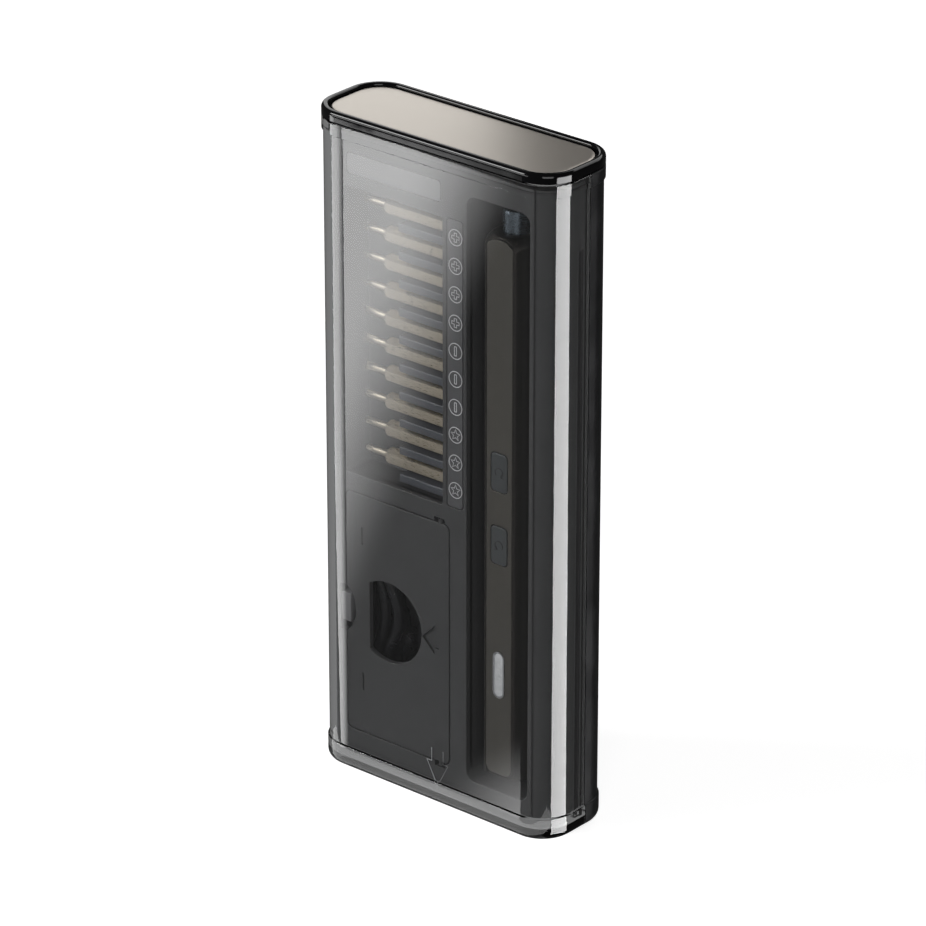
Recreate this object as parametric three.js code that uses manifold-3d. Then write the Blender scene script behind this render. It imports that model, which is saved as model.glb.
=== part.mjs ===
// Precision screwdriver set: a motor-driven pen screwdriver, ten bits and a charging lead,
// stored in a flat case whose clear front cover slides down off a black rear shell.
// Millimetres, +Z up, front at -Y, origin at the centre of the base.
import * as THREE from "three";
import { mergeVertices } from "three/addons/utils/BufferGeometryUtils.js";
import Module from "manifold-3d";

const wasm = await Module();
wasm.setup();

// ---------------------------------------------------------------- driving dimensions

const ARC_STEPS = 3; // half the segments in each arc of an outline
const ROUND_STEPS = 24; // sides of a turned piece
const GAP = 0.3; // between pieces that touch

const CASE = { width: 74, depth: 25, height: 170, corner: 8.8 };
// Bands that stand proud of the walls at both ends; the foot under the lower one is cut back.
const LIP = { proud: 0.4, height: 6, foot: 1.2 };
const COVER = { wall: 1.7, floor: 2.4, backY: 1.6, top: 167.2 };
const REAR = { wall: 1.8, floor: 2.4, frontY: 1.9, top: 167.2 };
const RAIL = { y0: -1.2, y1: 0.4, depth: 1.1, top: 149, play: 0.25 };
const CAP = { bottom: 167.5, floor: 168.3, chamfer: 0.8, spigot: 3, wall: 1.2, margin: 2, groove: 0.5 };
const PLATE = { bottom: 168.4, top: 169.3 };

const TRAY = { inset: 2.05, wall: 2.4, face: 1.4, bottom: 4.4, top: 165.4, backY: 1.5 };
const FACE_Y = -CASE.depth / 2 + LIP.proud + TRAY.inset; // the tray's front face
const POCKET_WALL = 1.2;

const BIT = { count: 10, pitch: 7.086, topZ: 147.8, axisY: -4.7, flats: 4 };
const BIT_END = { butt: 3, shoulder: -17.7 }; // along X; the tip points to -X
const WELL = { x0: -27, x1: 3.2, z0: 79, z1: 152, floorY: -1.2, corner: 0.8 };
const RACK = { x0: -12.5, rib: 2.1, frontY: -7.4, floorY: -2.4, backY: -1.5 };
const STRIP = { x0: 4.7, x1: 9.3, z0: 79.5, z1: 152, thick: 0.8 };
const PAD = { x0: -25.8, x1: 2.6, z0: 155.4, z1: 160.5, thick: 0.5 };

const TROUGH = { x0: 10.5, x1: 29, z0: 9, z1: 159, floorY: 2.4, corner: 2.5, scoop: 14 };
const LID = { x0: -27, x1: 5.1, z0: 10.9, z1: 74, thick: 1.4, corner: 1.5 };
const LID_HOLE = { flatX: -19.75, z: 42.8, radius: 10.5, cutOff: 4.74 };
const HINGE = { x: 2.3, y: -9.4, pin: 0.65, reach: 1.1 };
const LATCH = { x0: -28.9, x1: -25.9, z: 42.8, height: 7.6, notch: 12.5, hook: 0.7, recess: 7.85 };
const BAY = { x0: -26.3, x1: 4.3, z0: 11.9, z1: 73, floorY: 4.8, corner: 1 };

const PEN = { x: 20.4, y: -4.1, apothem: 5.85, faceHalf: 4.5, sideHalf: 7.6, corner: 0.7 };
const PEN_Z = { tail: 13, shoulder: 146.2, neck: 151.4, nose: 157.2 };
const BORE = { radius: 4.9, step: 141, front: 3.7 };
const FACEPLATE = { half: 3.8, thick: 0.4, z0: 13.7, inset: 0.45, corner: 1.6 };
const BUTTON = { width: 4.8, height: 9.7, corner: 1, z: [92.4, 73.7], thick: 1.1, side: 0.2 };
const SWITCH = { width: 3, height: 3, thick: 0.8 };
const BOARD = { half: 3.1, y0: -3.5, y1: -2.7, z0: 24, z1: 103 };
const WINDOW = { width: 3.5, height: 12.2, ring: 0.45, z: 40 };
const CELL = { radius: 3.6, y: 1, z0: 25, z1: 92 };
const MOTOR = { radius: 4.5, z0: 106, z1: 125.6 };
const GEARBOX = { radius: 4.6, z0: 126, z1: 140.4 };
const SHAFT = { radius: 2, play: 0.05, z0: 140.8, z1: 145.3, neck: 1.5, neckZ: 147.4 };
const CHUCK = { radius: 3.1, z0: 145.7, flats: 4.1, socketZ: 148, magnet: 1.8 };
const SOCKET = { width: 8.6, height: 3, depth: 7, wall: 0.3 };
const TAIL_CAP = { radius: 4.8, z0: 13.2, z1: 15 };

const CORD = { radius: 1.4, sides: 8 };
const COIL = { x: -11.2, z: 42.4, half: 14.4, tall: 28.9, y0: -7.35, y1: -4.35 };
const PLUG_Y = -0.1;
const PLUG_LARGE = { x: -4.2, grip: [14.6, 7.6, 26.3, 43], shell: [12, 4.5, 12.6, 26], relief: 48 };
const PLUG_SMALL = { x: -18.4, grip: [10.8, 6, 20.2, 36.4], shell: [8.3, 2.6, 13.4, 19.9], relief: 41.4 };
// Each tail is the lead's own route between its plug and the coil.
const TAIL_LARGE = [
  [-4.2, -0.1, 48.4],
  [-4.1, -0.2, 50.5],
  [-3.4, -0.7, 53],
  [-2.4, -1.6, 55.6],
  [-1.5, -2.4, 57.6],
];
const TAIL_SMALL = [
  [-18.4, -0.1, 41.8],
  [-18.4, -0.2, 44],
  [-18.2, -0.7, 47],
  [-17.9, -1.6, 50],
  [-17.6, -2.4, 52.2],
];

// ---------------------------------------------------------------- solids and booleans

// A closed geometry's position data as a solid that can be joined and cut.
function solidOf(geometry) {
  const bare = new THREE.BufferGeometry();
  const flat = geometry.index ? geometry.toNonIndexed() : geometry;
  bare.setAttribute("position", flat.getAttribute("position"));
  const merged = mergeVertices(bare, 1e-4);
  const index = merged.index.array;
  const kept = [];
  for (let i = 0; i < index.length; i += 3) {
    const [a, b, c] = [index[i], index[i + 1], index[i + 2]];
    if (a !== b && b !== c && c !== a) kept.push(a, b, c);
  }
  return new wasm.Manifold(
    new wasm.Mesh({
      numProp: 3,
      vertProperties: merged.attributes.position.array,
      triVerts: new Uint32Array(kept),
    }),
  );
}

function geometryOf(solid) {
  const mesh = solid.getMesh();
  const geometry = new THREE.BufferGeometry();
  geometry.setAttribute("position", new THREE.BufferAttribute(mesh.vertProperties, 3));
  geometry.setIndex(new THREE.BufferAttribute(mesh.triVerts, 1));
  const faceted = geometry.toNonIndexed();
  faceted.computeVertexNormals();
  return faceted;
}

const join = (first, ...others) => others.reduce((whole, piece) => whole.add(piece), first);
const cut = (first, ...tools) => tools.reduce((whole, tool) => whole.subtract(tool), first);

// ---------------------------------------------------------------- outlines

function roundedRect(x0, x1, y0, y1, radius) {
  const shape = new THREE.Shape();
  shape.moveTo(x0 + radius, y0);
  shape.absarc(x1 - radius, y0 + radius, radius, -Math.PI / 2, 0);
  shape.absarc(x1 - radius, y1 - radius, radius, 0, Math.PI / 2);
  shape.absarc(x0 + radius, y1 - radius, radius, Math.PI / 2, Math.PI);
  shape.absarc(x0 + radius, y0 + radius, radius, Math.PI, Math.PI * 1.5);
  return shape;
}

const centredRect = (width, height, radius) =>
  roundedRect(-width / 2, width / 2, -height / 2, height / 2, radius);

// A convex outline through the given corners, each cut back and rounded.
function roundedPolygon(corners, radius) {
  const shape = new THREE.Shape();
  const points = corners.map(([x, y]) => new THREE.Vector2(x, y));
  points.forEach((corner, i) => {
    const before = points[(i + points.length - 1) % points.length];
    const after = points[(i + 1) % points.length];
    const enter = corner.clone().add(before.clone().sub(corner).setLength(radius));
    const leave = corner.clone().add(after.clone().sub(corner).setLength(radius));
    if (i === 0) shape.moveTo(enter.x, enter.y);
    else shape.lineTo(enter.x, enter.y);
    shape.quadraticCurveTo(corner.x, corner.y, leave.x, leave.y);
  });
  return shape;
}

function regularPolygon(sides, apothem, turn) {
  const reach = apothem / Math.cos(Math.PI / sides);
  const corners = Array.from({ length: sides }, (_, i) => {
    const angle = turn + (i * 2 * Math.PI) / sides;
    return new THREE.Vector2(reach * Math.cos(angle), reach * Math.sin(angle));
  });
  return new THREE.Shape(corners);
}

// ---------------------------------------------------------------- basic solids

function extrude(shape, depth, steps = ARC_STEPS) {
  return new THREE.ExtrudeGeometry(shape, { depth, bevelEnabled: false, curveSegments: steps });
}

// An outline drawn in X and Y, raised along Z.
const prismZ = (shape, z0, z1, steps) => solidOf(extrude(shape, z1 - z0, steps).translate(0, 0, z0));

// An outline drawn in X and Z, run along Y.
const prismY = (shape, y0, y1, steps) =>
  solidOf(extrude(shape, y1 - y0, steps).rotateX(Math.PI / 2).translate(0, y1, 0));

// An outline drawn in Y and Z, run along X.
function prismX(shape, x0, x1) {
  const turn = new THREE.Matrix4().makeBasis(
    new THREE.Vector3(0, 1, 0),
    new THREE.Vector3(0, 0, 1),
    new THREE.Vector3(1, 0, 0),
  );
  return solidOf(extrude(shape, x1 - x0).applyMatrix4(turn).translate(x0, 0, 0));
}

function box(x0, x1, y0, y1, z0, z1) {
  const geometry = new THREE.BoxGeometry(x1 - x0, y1 - y0, z1 - z0);
  return solidOf(geometry.translate((x0 + x1) / 2, (y0 + y1) / 2, (z0 + z1) / 2));
}

function cylinderZ(radius, z0, z1, x = 0, y = 0, steps = ROUND_STEPS) {
  const geometry = new THREE.CylinderGeometry(radius, radius, z1 - z0, steps);
  return solidOf(geometry.rotateX(Math.PI / 2).translate(x, y, (z0 + z1) / 2));
}

// A turned piece about Z: [radius, height] pairs, from the axis round the outside to the axis.
function turned(profile, steps = ROUND_STEPS) {
  const points = profile.map(([radius, height]) => new THREE.Vector2(radius, height));
  return solidOf(new THREE.LatheGeometry(points, steps).rotateX(Math.PI / 2));
}

function tube(points, radius, sides) {
  const path = new THREE.CatmullRomCurve3(points.map((p) => new THREE.Vector3(...p)));
  const section = new THREE.Shape();
  section.absarc(0, 0, radius, 0, Math.PI * 2);
  return solidOf(
    new THREE.ExtrudeGeometry(section, {
      steps: 2 * points.length,
      curveSegments: sides / 2,
      bevelEnabled: false,
      extrudePath: path,
    }),
  );
}

// ---------------------------------------------------------------- materials

const finish = (color, roughness, metalness) =>
  new THREE.MeshStandardMaterial({ color, roughness, metalness });

const clearPlastic = new THREE.MeshStandardMaterial({
  color: 0xf4f6f8,
  roughness: 0.05,
  metalness: 0,
  transparent: true,
  opacity: 0.3,
});
const blackShell = finish(0x202022, 0.4, 0);
const blackGloss = finish(0x0c0c0d, 0.15, 0);
const champagneMetal = finish(0xa79f92, 0.35, 0.9);
const trayPlastic = finish(0x424244, 0.55, 0);
const rackPlastic = finish(0x4a4e56, 0.55, 0);
const paleInsert = finish(0x6a6a6d, 0.5, 0);
const bitSteel = finish(0xb3a995, 0.4, 0.8);
const penBlack = finish(0x2a2827, 0.4, 0.6);
const gunmetal = finish(0x55524d, 0.35, 0.9);
const buttonPlastic = finish(0x3e4144, 0.45, 0);
const chromeRing = finish(0xd0d2d4, 0.1, 1);
const frostedLens = finish(0x8b8d90, 0.3, 0);
const chuckSteel = finish(0x505a64, 0.3, 0.9);
const cordBlack = finish(0x151517, 0.5, 0);
const plugSteel = finish(0xb8babd, 0.3, 1);
const canSteel = finish(0x9a9da0, 0.35, 1);
const cellWrap = finish(0x2d5f8a, 0.5, 0);
const boardGreen = finish(0x1f5a35, 0.5, 0);
const bronze = finish(0x9c7340, 0.4, 0.9);

// ---------------------------------------------------------------- the scene graph

const set = new THREE.Group();

function add(name, solid, material, parent = set) {
  const mesh = new THREE.Mesh(geometryOf(solid), material);
  mesh.name = name;
  parent.add(mesh);
  return mesh;
}

// ---------------------------------------------------------------- case

// The case's outline, brought in from the walls' outside by an inset.
function casePrism(inset, z0, z1) {
  const width = CASE.width - 2 * LIP.proud - 2 * inset;
  const depth = CASE.depth - 2 * LIP.proud - 2 * inset;
  return prismZ(centredRect(width, depth, CASE.corner - LIP.proud - inset), z0, z1);
}

// Everything of the case in front of, or behind, a plane of constant Y.
const slab = (y0, y1) => box(-CASE.width, CASE.width, y0, y1, -1, CASE.height + 1);

// A wall that follows the case's outline over a floor, with a proud band at its foot and at its top.
function caseWall(wall, floor, top) {
  const outside = join(
    casePrism(LIP.foot - LIP.proud, 0, LIP.foot),
    casePrism(0, LIP.foot, top),
    casePrism(-LIP.proud, LIP.foot, LIP.height),
    casePrism(-LIP.proud, CASE.height - LIP.height, top),
  );
  return cut(outside, casePrism(wall, floor, top + 1));
}

function rails(side, depth, play, z0, z1) {
  const wallX = CASE.width / 2 - LIP.proud - COVER.wall;
  const x0 = wallX - depth;
  const x1 = wallX + (play ? 0 : 0.4);
  return side > 0
    ? box(x0, x1, RAIL.y0 - play, RAIL.y1 + play, z0, z1)
    : box(-x1, -x0, RAIL.y0 - play, RAIL.y1 + play, z0, z1);
}

function clearCover() {
  const wall = caseWall(COVER.wall, COVER.floor, COVER.top).intersect(slab(-CASE.depth, COVER.backY));
  const lowEnd = COVER.floor - 0.5;
  return join(wall, rails(1, RAIL.depth, 0, lowEnd, RAIL.top), rails(-1, RAIL.depth, 0, lowEnd, RAIL.top));
}

const rearShell = () =>
  caseWall(REAR.wall, REAR.floor, REAR.top).intersect(slab(REAR.frontY, CASE.depth));

function topRim() {
  const outer = centredRect(CASE.width, CASE.depth, CASE.corner);
  const crown = centredRect(
    CASE.width - 2 * CAP.chamfer,
    CASE.depth - 2 * CAP.chamfer,
    CASE.corner - CAP.chamfer,
  );
  const plateHole = centredRect(
    CASE.width - 2 * CAP.margin,
    CASE.depth - 2 * CAP.margin,
    CASE.corner - CAP.margin,
  );
  const ring = join(
    prismZ(outer, CAP.bottom, CASE.height - CAP.chamfer),
    prismZ(crown, CASE.height - CAP.chamfer, CASE.height),
  );
  const spigot = casePrism(REAR.wall + GAP, CAP.bottom - CAP.spigot, CAP.bottom + 0.5).intersect(
    slab(REAR.frontY + 2, CASE.depth),
  );
  const hollow = casePrism(REAR.wall + GAP + CAP.wall, CAP.bottom - CAP.spigot - 1, CAP.bottom);
  return join(cut(ring, prismZ(plateHole, CAP.floor, CASE.height + 1)), cut(spigot, hollow));
}

function topPlate() {
  const margin = CAP.margin + CAP.groove;
  const outline = centredRect(
    CASE.width - 2 * margin,
    CASE.depth - 2 * margin,
    CASE.corner - margin,
  );
  return prismZ(outline, PLATE.bottom, PLATE.top);
}

// ---------------------------------------------------------------- tray and what it holds

// A pocket's outside wall, from the back of the tray's face to behind the pocket's floor.
function pocketWall(pocket, wall = POCKET_WALL) {
  const outline = roundedRect(
    pocket.x0 - wall,
    pocket.x1 + wall,
    pocket.z0 - wall,
    pocket.z1 + wall,
    pocket.corner + wall,
  );
  return prismY(outline, FACE_Y + 0.2, pocket.floorY + wall);
}

const pocketHollow = (pocket) =>
  prismY(
    roundedRect(pocket.x0, pocket.x1, pocket.z0, pocket.z1, pocket.corner),
    FACE_Y - 1,
    pocket.floorY,
  );

// The pen's trough ends in a slope at the bottom, where a finger lifts the pen.
function scoop() {
  const slope = new THREE.Shape();
  slope.moveTo(TROUGH.floorY + 0.1, TROUGH.z0 - 0.1);
  slope.lineTo(TROUGH.floorY + 0.1, TROUGH.z0 + TROUGH.scoop);
  slope.quadraticCurveTo(TROUGH.floorY - 6, TROUGH.z0 + 1, FACE_Y + 1, TROUGH.z0 - 0.1);
  const belowPen = box(TROUGH.x0, TROUGH.x1, FACE_Y, CASE.depth, 0, PEN_Z.tail - 1);
  return prismX(slope, TROUGH.x0 - 0.1, TROUGH.x1 + 0.1).intersect(belowPen);
}

// A flat insert's outline in the tray's face, grown all round by a gap.
const insertOutline = (insert, gap, radius) =>
  roundedRect(insert.x0 - gap, insert.x1 + gap, insert.z0 - gap, insert.z1 + gap, radius);

function hingePocket(z0, z1) {
  return box(HINGE.x - 1.7, HINGE.x + 1.7, FACE_Y - 1, HINGE.y + HINGE.pin + 0.4, z0, z1);
}

function innerTray() {
  const outside = casePrism(TRAY.inset, TRAY.bottom, TRAY.top).intersect(slab(-CASE.depth, TRAY.backY));
  const inside = casePrism(TRAY.inset + TRAY.wall, TRAY.bottom + TRAY.wall, TRAY.top - TRAY.wall).intersect(
    slab(FACE_Y + TRAY.face, CASE.depth),
  );
  const walled = join(cut(outside, inside), pocketWall(WELL), pocketWall(TROUGH), pocketWall(BAY));
  const lidRecess = prismY(
    insertOutline(LID, 0.25, LID.corner + 0.25),
    FACE_Y - 1,
    FACE_Y + LID.thick + GAP,
  );
  const latchNotch = box(
    LATCH.x0 - GAP,
    LID.x0,
    FACE_Y - 1,
    FACE_Y + TRAY.face + 3,
    LATCH.z - LATCH.notch / 2,
    LATCH.z + LATCH.notch / 2,
  );
  const hookRoom = box(
    LATCH.x0 - LATCH.hook - GAP,
    BAY.x0 + 1,
    FACE_Y + TRAY.face - 0.1,
    FACE_Y + TRAY.face + 3,
    LATCH.z - LATCH.height / 2 - GAP,
    LATCH.z + LATCH.height / 2 + GAP,
  );
  const stripRecess = prismY(insertOutline(STRIP, 0.2, 1), FACE_Y - 1, FACE_Y + STRIP.thick + 0.1);
  const padRecess = prismY(insertOutline(PAD, 0.1, 1), FACE_Y - 1, FACE_Y + PAD.thick + 0.1);
  return join(
    cut(
      walled,
      pocketHollow(WELL),
      pocketHollow(TROUGH),
      pocketHollow(BAY),
      lidRecess,
      latchNotch,
      hookRoom,
      hingePocket(LID.z0 - HINGE.reach - GAP, LID.z0),
      hingePocket(LID.z1, LID.z1 + HINGE.reach + GAP),
      stripRecess,
      padRecess,
      rails(1, RAIL.depth + RAIL.play, RAIL.play, 0, RAIL.top + GAP),
      rails(-1, RAIL.depth + RAIL.play, RAIL.play, 0, RAIL.top + GAP),
    ),
    scoop(),
  );
}

// A comb whose ribs stand between the bits.
function bitRack() {
  const base = box(RACK.x0, WELL.x1 - GAP, RACK.floorY, RACK.backY, WELL.z0 + GAP, WELL.z1 - GAP);
  const envelope = box(RACK.x0, WELL.x1 - GAP, RACK.frontY, RACK.backY, WELL.z0 + GAP, WELL.z1 - GAP);
  const ribs = Array.from({ length: BIT.count + 1 }, (_, i) => {
    const z = BIT.topZ + BIT.pitch * (0.5 - i);
    return box(RACK.x0, WELL.x1 - GAP, RACK.frontY, RACK.backY, z - RACK.rib / 2, z + RACK.rib / 2);
  });
  return join(base, ...ribs).intersect(envelope);
}

const iconStrip = () => prismY(insertOutline(STRIP, 0, 0.8), FACE_Y, FACE_Y + STRIP.thick);

const labelPad = () => prismY(insertOutline(PAD, 0, 0.9), FACE_Y, FACE_Y + PAD.thick);

function cableLid() {
  const panel = prismY(insertOutline(LID, 0, LID.corner), FACE_Y, FACE_Y + LID.thick);
  const centreX = LID_HOLE.flatX + LID_HOLE.radius - LID_HOLE.cutOff;
  const angle = Math.acos((LID_HOLE.flatX - centreX) / LID_HOLE.radius);
  const dShape = new THREE.Shape();
  dShape.absarc(centreX, LID_HOLE.z, LID_HOLE.radius, -angle, angle);
  const latchRoom = new THREE.Shape();
  latchRoom.absarc(LATCH.x1 + 1.8 - LATCH.recess, LATCH.z, LATCH.recess, 0, Math.PI * 2);
  const pins = cylinderZ(HINGE.pin, LID.z0 - HINGE.reach, LID.z1 + HINGE.reach, HINGE.x, HINGE.y);
  return cut(
    join(panel, pins),
    prismY(dShape, FACE_Y - 1, 0, 3 * ARC_STEPS),
    prismY(latchRoom, FACE_Y - 1, 0, 6 * ARC_STEPS),
  );
}

// A finger tab with a hook that catches behind the tray's face; its foot runs behind the lid.
function lidLatch() {
  const leaf = 0.7;
  const low = LATCH.z - LATCH.height / 2;
  const high = LATCH.z + LATCH.height / 2;
  const behindY = FACE_Y + LID.thick + GAP;
  const tab = box(LATCH.x0, LATCH.x1, FACE_Y + 0.2, behindY + leaf, low, high);
  const hook = box(LATCH.x0 - LATCH.hook, LATCH.x0 + 0.5, behindY, behindY + leaf, low + 0.6, high - 0.6);
  const foot = box(LATCH.x1 - 0.5, LATCH.x1 + 3.4, behindY, behindY + leaf, LATCH.z - 1.6, LATCH.z + 1.6);
  return join(tab, hook, foot);
}

// ---------------------------------------------------------------- charging lead

function cableCoil() {
  const outline = roundedRect(
    COIL.x - COIL.half,
    COIL.x + COIL.half,
    COIL.z - COIL.tall,
    COIL.z + COIL.tall,
    COIL.half,
  );
  return prismY(outline, COIL.y0, COIL.y1, 2 * ARC_STEPS);
}

function plugGrip({ x, grip: [width, thick, z0, z1], relief }) {
  const body = prismZ(centredRect(width, thick, thick / 2.4), z0, z1);
  const neck = turned([[0, z1 - 0.5], [2.6, z1 - 0.5], [1.9, relief], [0, relief]], 16);
  return join(body, neck).translate(x, PLUG_Y, 0);
}

function plugShell({ x, shell: [width, thick, z0, z1] }) {
  const wall = 0.35;
  const radius = thick > 3 ? 0.5 : thick / 2 - 0.05;
  const outside = prismZ(centredRect(width, thick, radius), z0, z1);
  const mouth = prismZ(
    centredRect(width - 2 * wall, thick - 2 * wall, Math.max(radius - wall, 0.15)),
    z0 - 1,
    z1 - 2,
  );
  const tongue = box(-width / 2 + 1.6, width / 2 - 1.6, -0.35, 0.35, z0 + 0.8, z1 - 1.5);
  return join(cut(outside, mouth), tongue).translate(x, PLUG_Y, 0);
}

// ---------------------------------------------------------------- bits

// Tips are turned first, pointing to +Z, and then cut to their drive.
const TIPS = {
  cross: {
    profile: [[0, 0], [1.5, 0], [1.5, 0.5], [0.95, 1.2], [0.95, 5.3], [0.25, 7.3], [0, 7.3]],
    shape: (tip) => {
      const flutes = [0, 90, 180, 270].map((turn) =>
        box(-0.6, 0.6, -0.6, 0.6, 5.6, 8).rotate([0, 0, 45]).translate(1, 0, 0).rotate([0, 0, turn + 45]),
      );
      return cut(tip, ...flutes);
    },
  },
  slot: {
    profile: [[0, 0], [1.5, 0], [1.5, 0.5], [1, 1.2], [1, 7.3], [0, 7.3]],
    shape: (tip) => cut(tip, box(-2, 2, 0.2, 2, 4.6, 8), box(-2, 2, -2, -0.2, 4.6, 8)),
  },
  star: {
    profile: [[0, 0], [1.5, 0], [1.5, 0.5], [0.95, 1.2], [0.95, 7.3], [0, 7.3]],
    shape: (tip) => {
      const grooves = Array.from({ length: 5 }, (_, i) =>
        cylinderZ(0.32, 5.4, 8, 1, 0, 6).rotate([0, 0, 72 * i]),
      );
      return cut(tip, ...grooves);
    },
  },
};

// A bit about its own axis, tip to -X, with the hexagonal shank's flats front and back.
function bit(kind) {
  const hexagon = regularPolygon(6, BIT.flats / 2, Math.PI / 6 + Math.PI / 3);
  const shank = prismX(hexagon, BIT_END.shoulder, BIT_END.butt);
  const bevel = turned(
    [
      [0, BIT_END.shoulder - 0.1],
      [1.7, BIT_END.shoulder - 0.1],
      [2.4, BIT_END.shoulder + 0.8],
      [2.4, BIT_END.butt - 0.5],
      [2, BIT_END.butt + 0.1],
      [0, BIT_END.butt + 0.1],
    ],
    12,
  ).rotate([0, 90, 0]);
  const { profile, shape } = TIPS[kind];
  const tip = shape(turned(profile, 10)).rotate([0, -90, 0]).translate(BIT_END.shoulder + 0.2, 0, 0);
  return join(shank.intersect(bevel), tip);
}

const BIT_KINDS = ["cross", "cross", "cross", "cross", "slot", "slot", "slot", "star", "star", "star"];

function addBits() {
  const made = {};
  BIT_KINDS.forEach((kind, i) => {
    made[kind] = (made[kind] || 0) + 1;
    const mesh = add("bit_" + kind + "_" + made[kind], bit(kind), bitSteel);
    mesh.position.set(0, BIT.axisY, BIT.topZ - BIT.pitch * i);
  });
}

// ---------------------------------------------------------------- pen screwdriver, about its own axis

const penOutline = roundedPolygon(
  [
    [-PEN.faceHalf, -PEN.apothem],
    [PEN.faceHalf, -PEN.apothem],
    [PEN.sideHalf, 0],
    [PEN.faceHalf, PEN.apothem],
    [-PEN.faceHalf, PEN.apothem],
    [-PEN.sideHalf, 0],
  ],
  PEN.corner,
);

// The turned form that rounds both ends of the six-sided body.
const penEnvelope = () =>
  turned([
    [0, PEN_Z.tail],
    [6.2, PEN_Z.tail],
    [8.2, PEN_Z.tail + 1.6],
    [8.2, PEN_Z.shoulder - 2],
    [7.3, PEN_Z.shoulder],
    [6.5, PEN_Z.shoulder + 2.2],
    [5.5, PEN_Z.shoulder + 3.8],
    [4.6, PEN_Z.shoulder + 4.7],
    [3.9, PEN_Z.neck],
    [0, PEN_Z.neck],
  ]);

function buttonOutline(z, grow) {
  const halfWidth = BUTTON.width / 2 + grow;
  const halfHeight = BUTTON.height / 2 + grow;
  return roundedRect(-halfWidth, halfWidth, z - halfHeight, z + halfHeight, BUTTON.corner + grow);
}

const windowOutline = (shrink) =>
  roundedRect(
    -WINDOW.width / 2 + shrink,
    WINDOW.width / 2 - shrink,
    WINDOW.z - WINDOW.height / 2 + shrink,
    WINDOW.z + WINDOW.height / 2 - shrink,
    WINDOW.width / 2 - shrink - 0.01,
  );

// Openings through the pen's front: two for the buttons and one for the indicator.
const frontOpenings = () => [
  ...BUTTON.z.map((z) => prismY(buttonOutline(z, BUTTON.side), -PEN.apothem - 1, -2)),
  prismY(windowOutline(-0.15), -PEN.apothem - 1, -2),
];

const faceplateOutline = (gap) =>
  roundedRect(
    -FACEPLATE.half - gap,
    FACEPLATE.half + gap,
    FACEPLATE.z0 - gap,
    PEN_Z.neck + gap,
    FACEPLATE.corner,
  );

function penHousing() {
  const body = prismZ(penOutline, PEN_Z.tail, PEN_Z.neck, 3).intersect(penEnvelope());
  const groove = prismY(faceplateOutline(0.05), -PEN.apothem - 1, -PEN.apothem + FACEPLATE.inset);
  return cut(
    body,
    cylinderZ(BORE.radius, PEN_Z.tail - 1, BORE.step),
    cylinderZ(BORE.front, BORE.step - 0.1, PEN_Z.neck - 1),
    cylinderZ(CHUCK.radius + 0.2, PEN_Z.neck - 1.1, PEN_Z.neck + 1),
    groove,
    ...frontOpenings(),
  );
}

function penFaceplate() {
  const strip = prismY(faceplateOutline(0), -PEN.apothem, -PEN.apothem + FACEPLATE.thick);
  return cut(strip.intersect(penEnvelope()), ...frontOpenings());
}

const penButton = (z) =>
  prismY(buttonOutline(z, 0), -PEN.apothem - 0.1, -PEN.apothem - 0.1 + BUTTON.thick, 4);

function tactSwitch(z) {
  const half = SWITCH.width / 2;
  const backY = BOARD.y0 - 0.1;
  const body = box(-half, half, backY - SWITCH.thick + 0.3, backY, z - half, z + half);
  const plunger = cylinderZ(0.8, 0, SWITCH.thick, 0, 0, 12).rotate([90, 0, 0]).translate(0, backY, z);
  return join(body, plunger);
}

const indicatorRing = () =>
  cut(
    prismY(windowOutline(0), -PEN.apothem - 0.15, -PEN.apothem + 0.9),
    prismY(windowOutline(WINDOW.ring), -PEN.apothem - 1, -2),
  );

const indicatorLens = () =>
  prismY(windowOutline(WINDOW.ring + 0.06), -PEN.apothem - 0.05, -PEN.apothem + 0.9);

function chargingSocket() {
  const z0 = TAIL_CAP.z1 + GAP;
  const round = (shrink) =>
    centredRect(SOCKET.width - shrink, SOCKET.height - shrink, (SOCKET.height - shrink) / 2.1);
  const shell = prismZ(round(0), z0, z0 + SOCKET.depth);
  const mouth = prismZ(round(2 * SOCKET.wall), z0 - 1, z0 + SOCKET.depth - 1);
  const tongue = box(-3.1, 3.1, -0.35, 0.35, z0 + 0.8, z0 + SOCKET.depth - 0.5);
  return join(cut(shell, mouth), tongue);
}

function tailCap() {
  const opening = centredRect(SOCKET.width - 0.2, SOCKET.height - 0.2, (SOCKET.height - 0.2) / 2.1);
  return cut(cylinderZ(TAIL_CAP.radius, TAIL_CAP.z0, TAIL_CAP.z1), prismZ(opening, 0, PEN_Z.tail + 9));
}

const frontBushing = () =>
  cut(
    cylinderZ(BORE.front - 0.1, BORE.step + GAP, SHAFT.z1 - 0.3),
    cylinderZ(SHAFT.radius + SHAFT.play, BORE.step, SHAFT.z1 + 1),
  );

const outputShaft = () =>
  join(cylinderZ(SHAFT.radius, SHAFT.z0, SHAFT.z1), cylinderZ(SHAFT.neck, SHAFT.z1 - 1, SHAFT.neckZ));

function chuck() {
  const barrel = turned([
    [0, CHUCK.z0],
    [CHUCK.radius, CHUCK.z0],
    [CHUCK.radius, PEN_Z.nose - 1.2],
    [CHUCK.radius - 0.35, PEN_Z.nose - 0.4],
    [CHUCK.radius - 0.8, PEN_Z.nose],
    [0, PEN_Z.nose],
  ]);
  const socket = prismZ(regularPolygon(6, CHUCK.flats / 2, 0), CHUCK.socketZ, PEN_Z.nose + 1);
  return cut(barrel, socket, cylinderZ(SHAFT.neck + 0.1, CHUCK.z0 - 1, SHAFT.neckZ + 0.2));
}

function motor() {
  const can = cylinderZ(MOTOR.radius, MOTOR.z0, MOTOR.z1);
  const flats = [box(-9, 9, 3.7, 9, 0, CASE.height), box(-9, 9, -9, -3.7, 0, CASE.height)];
  return cut(can, ...flats);
}

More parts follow.
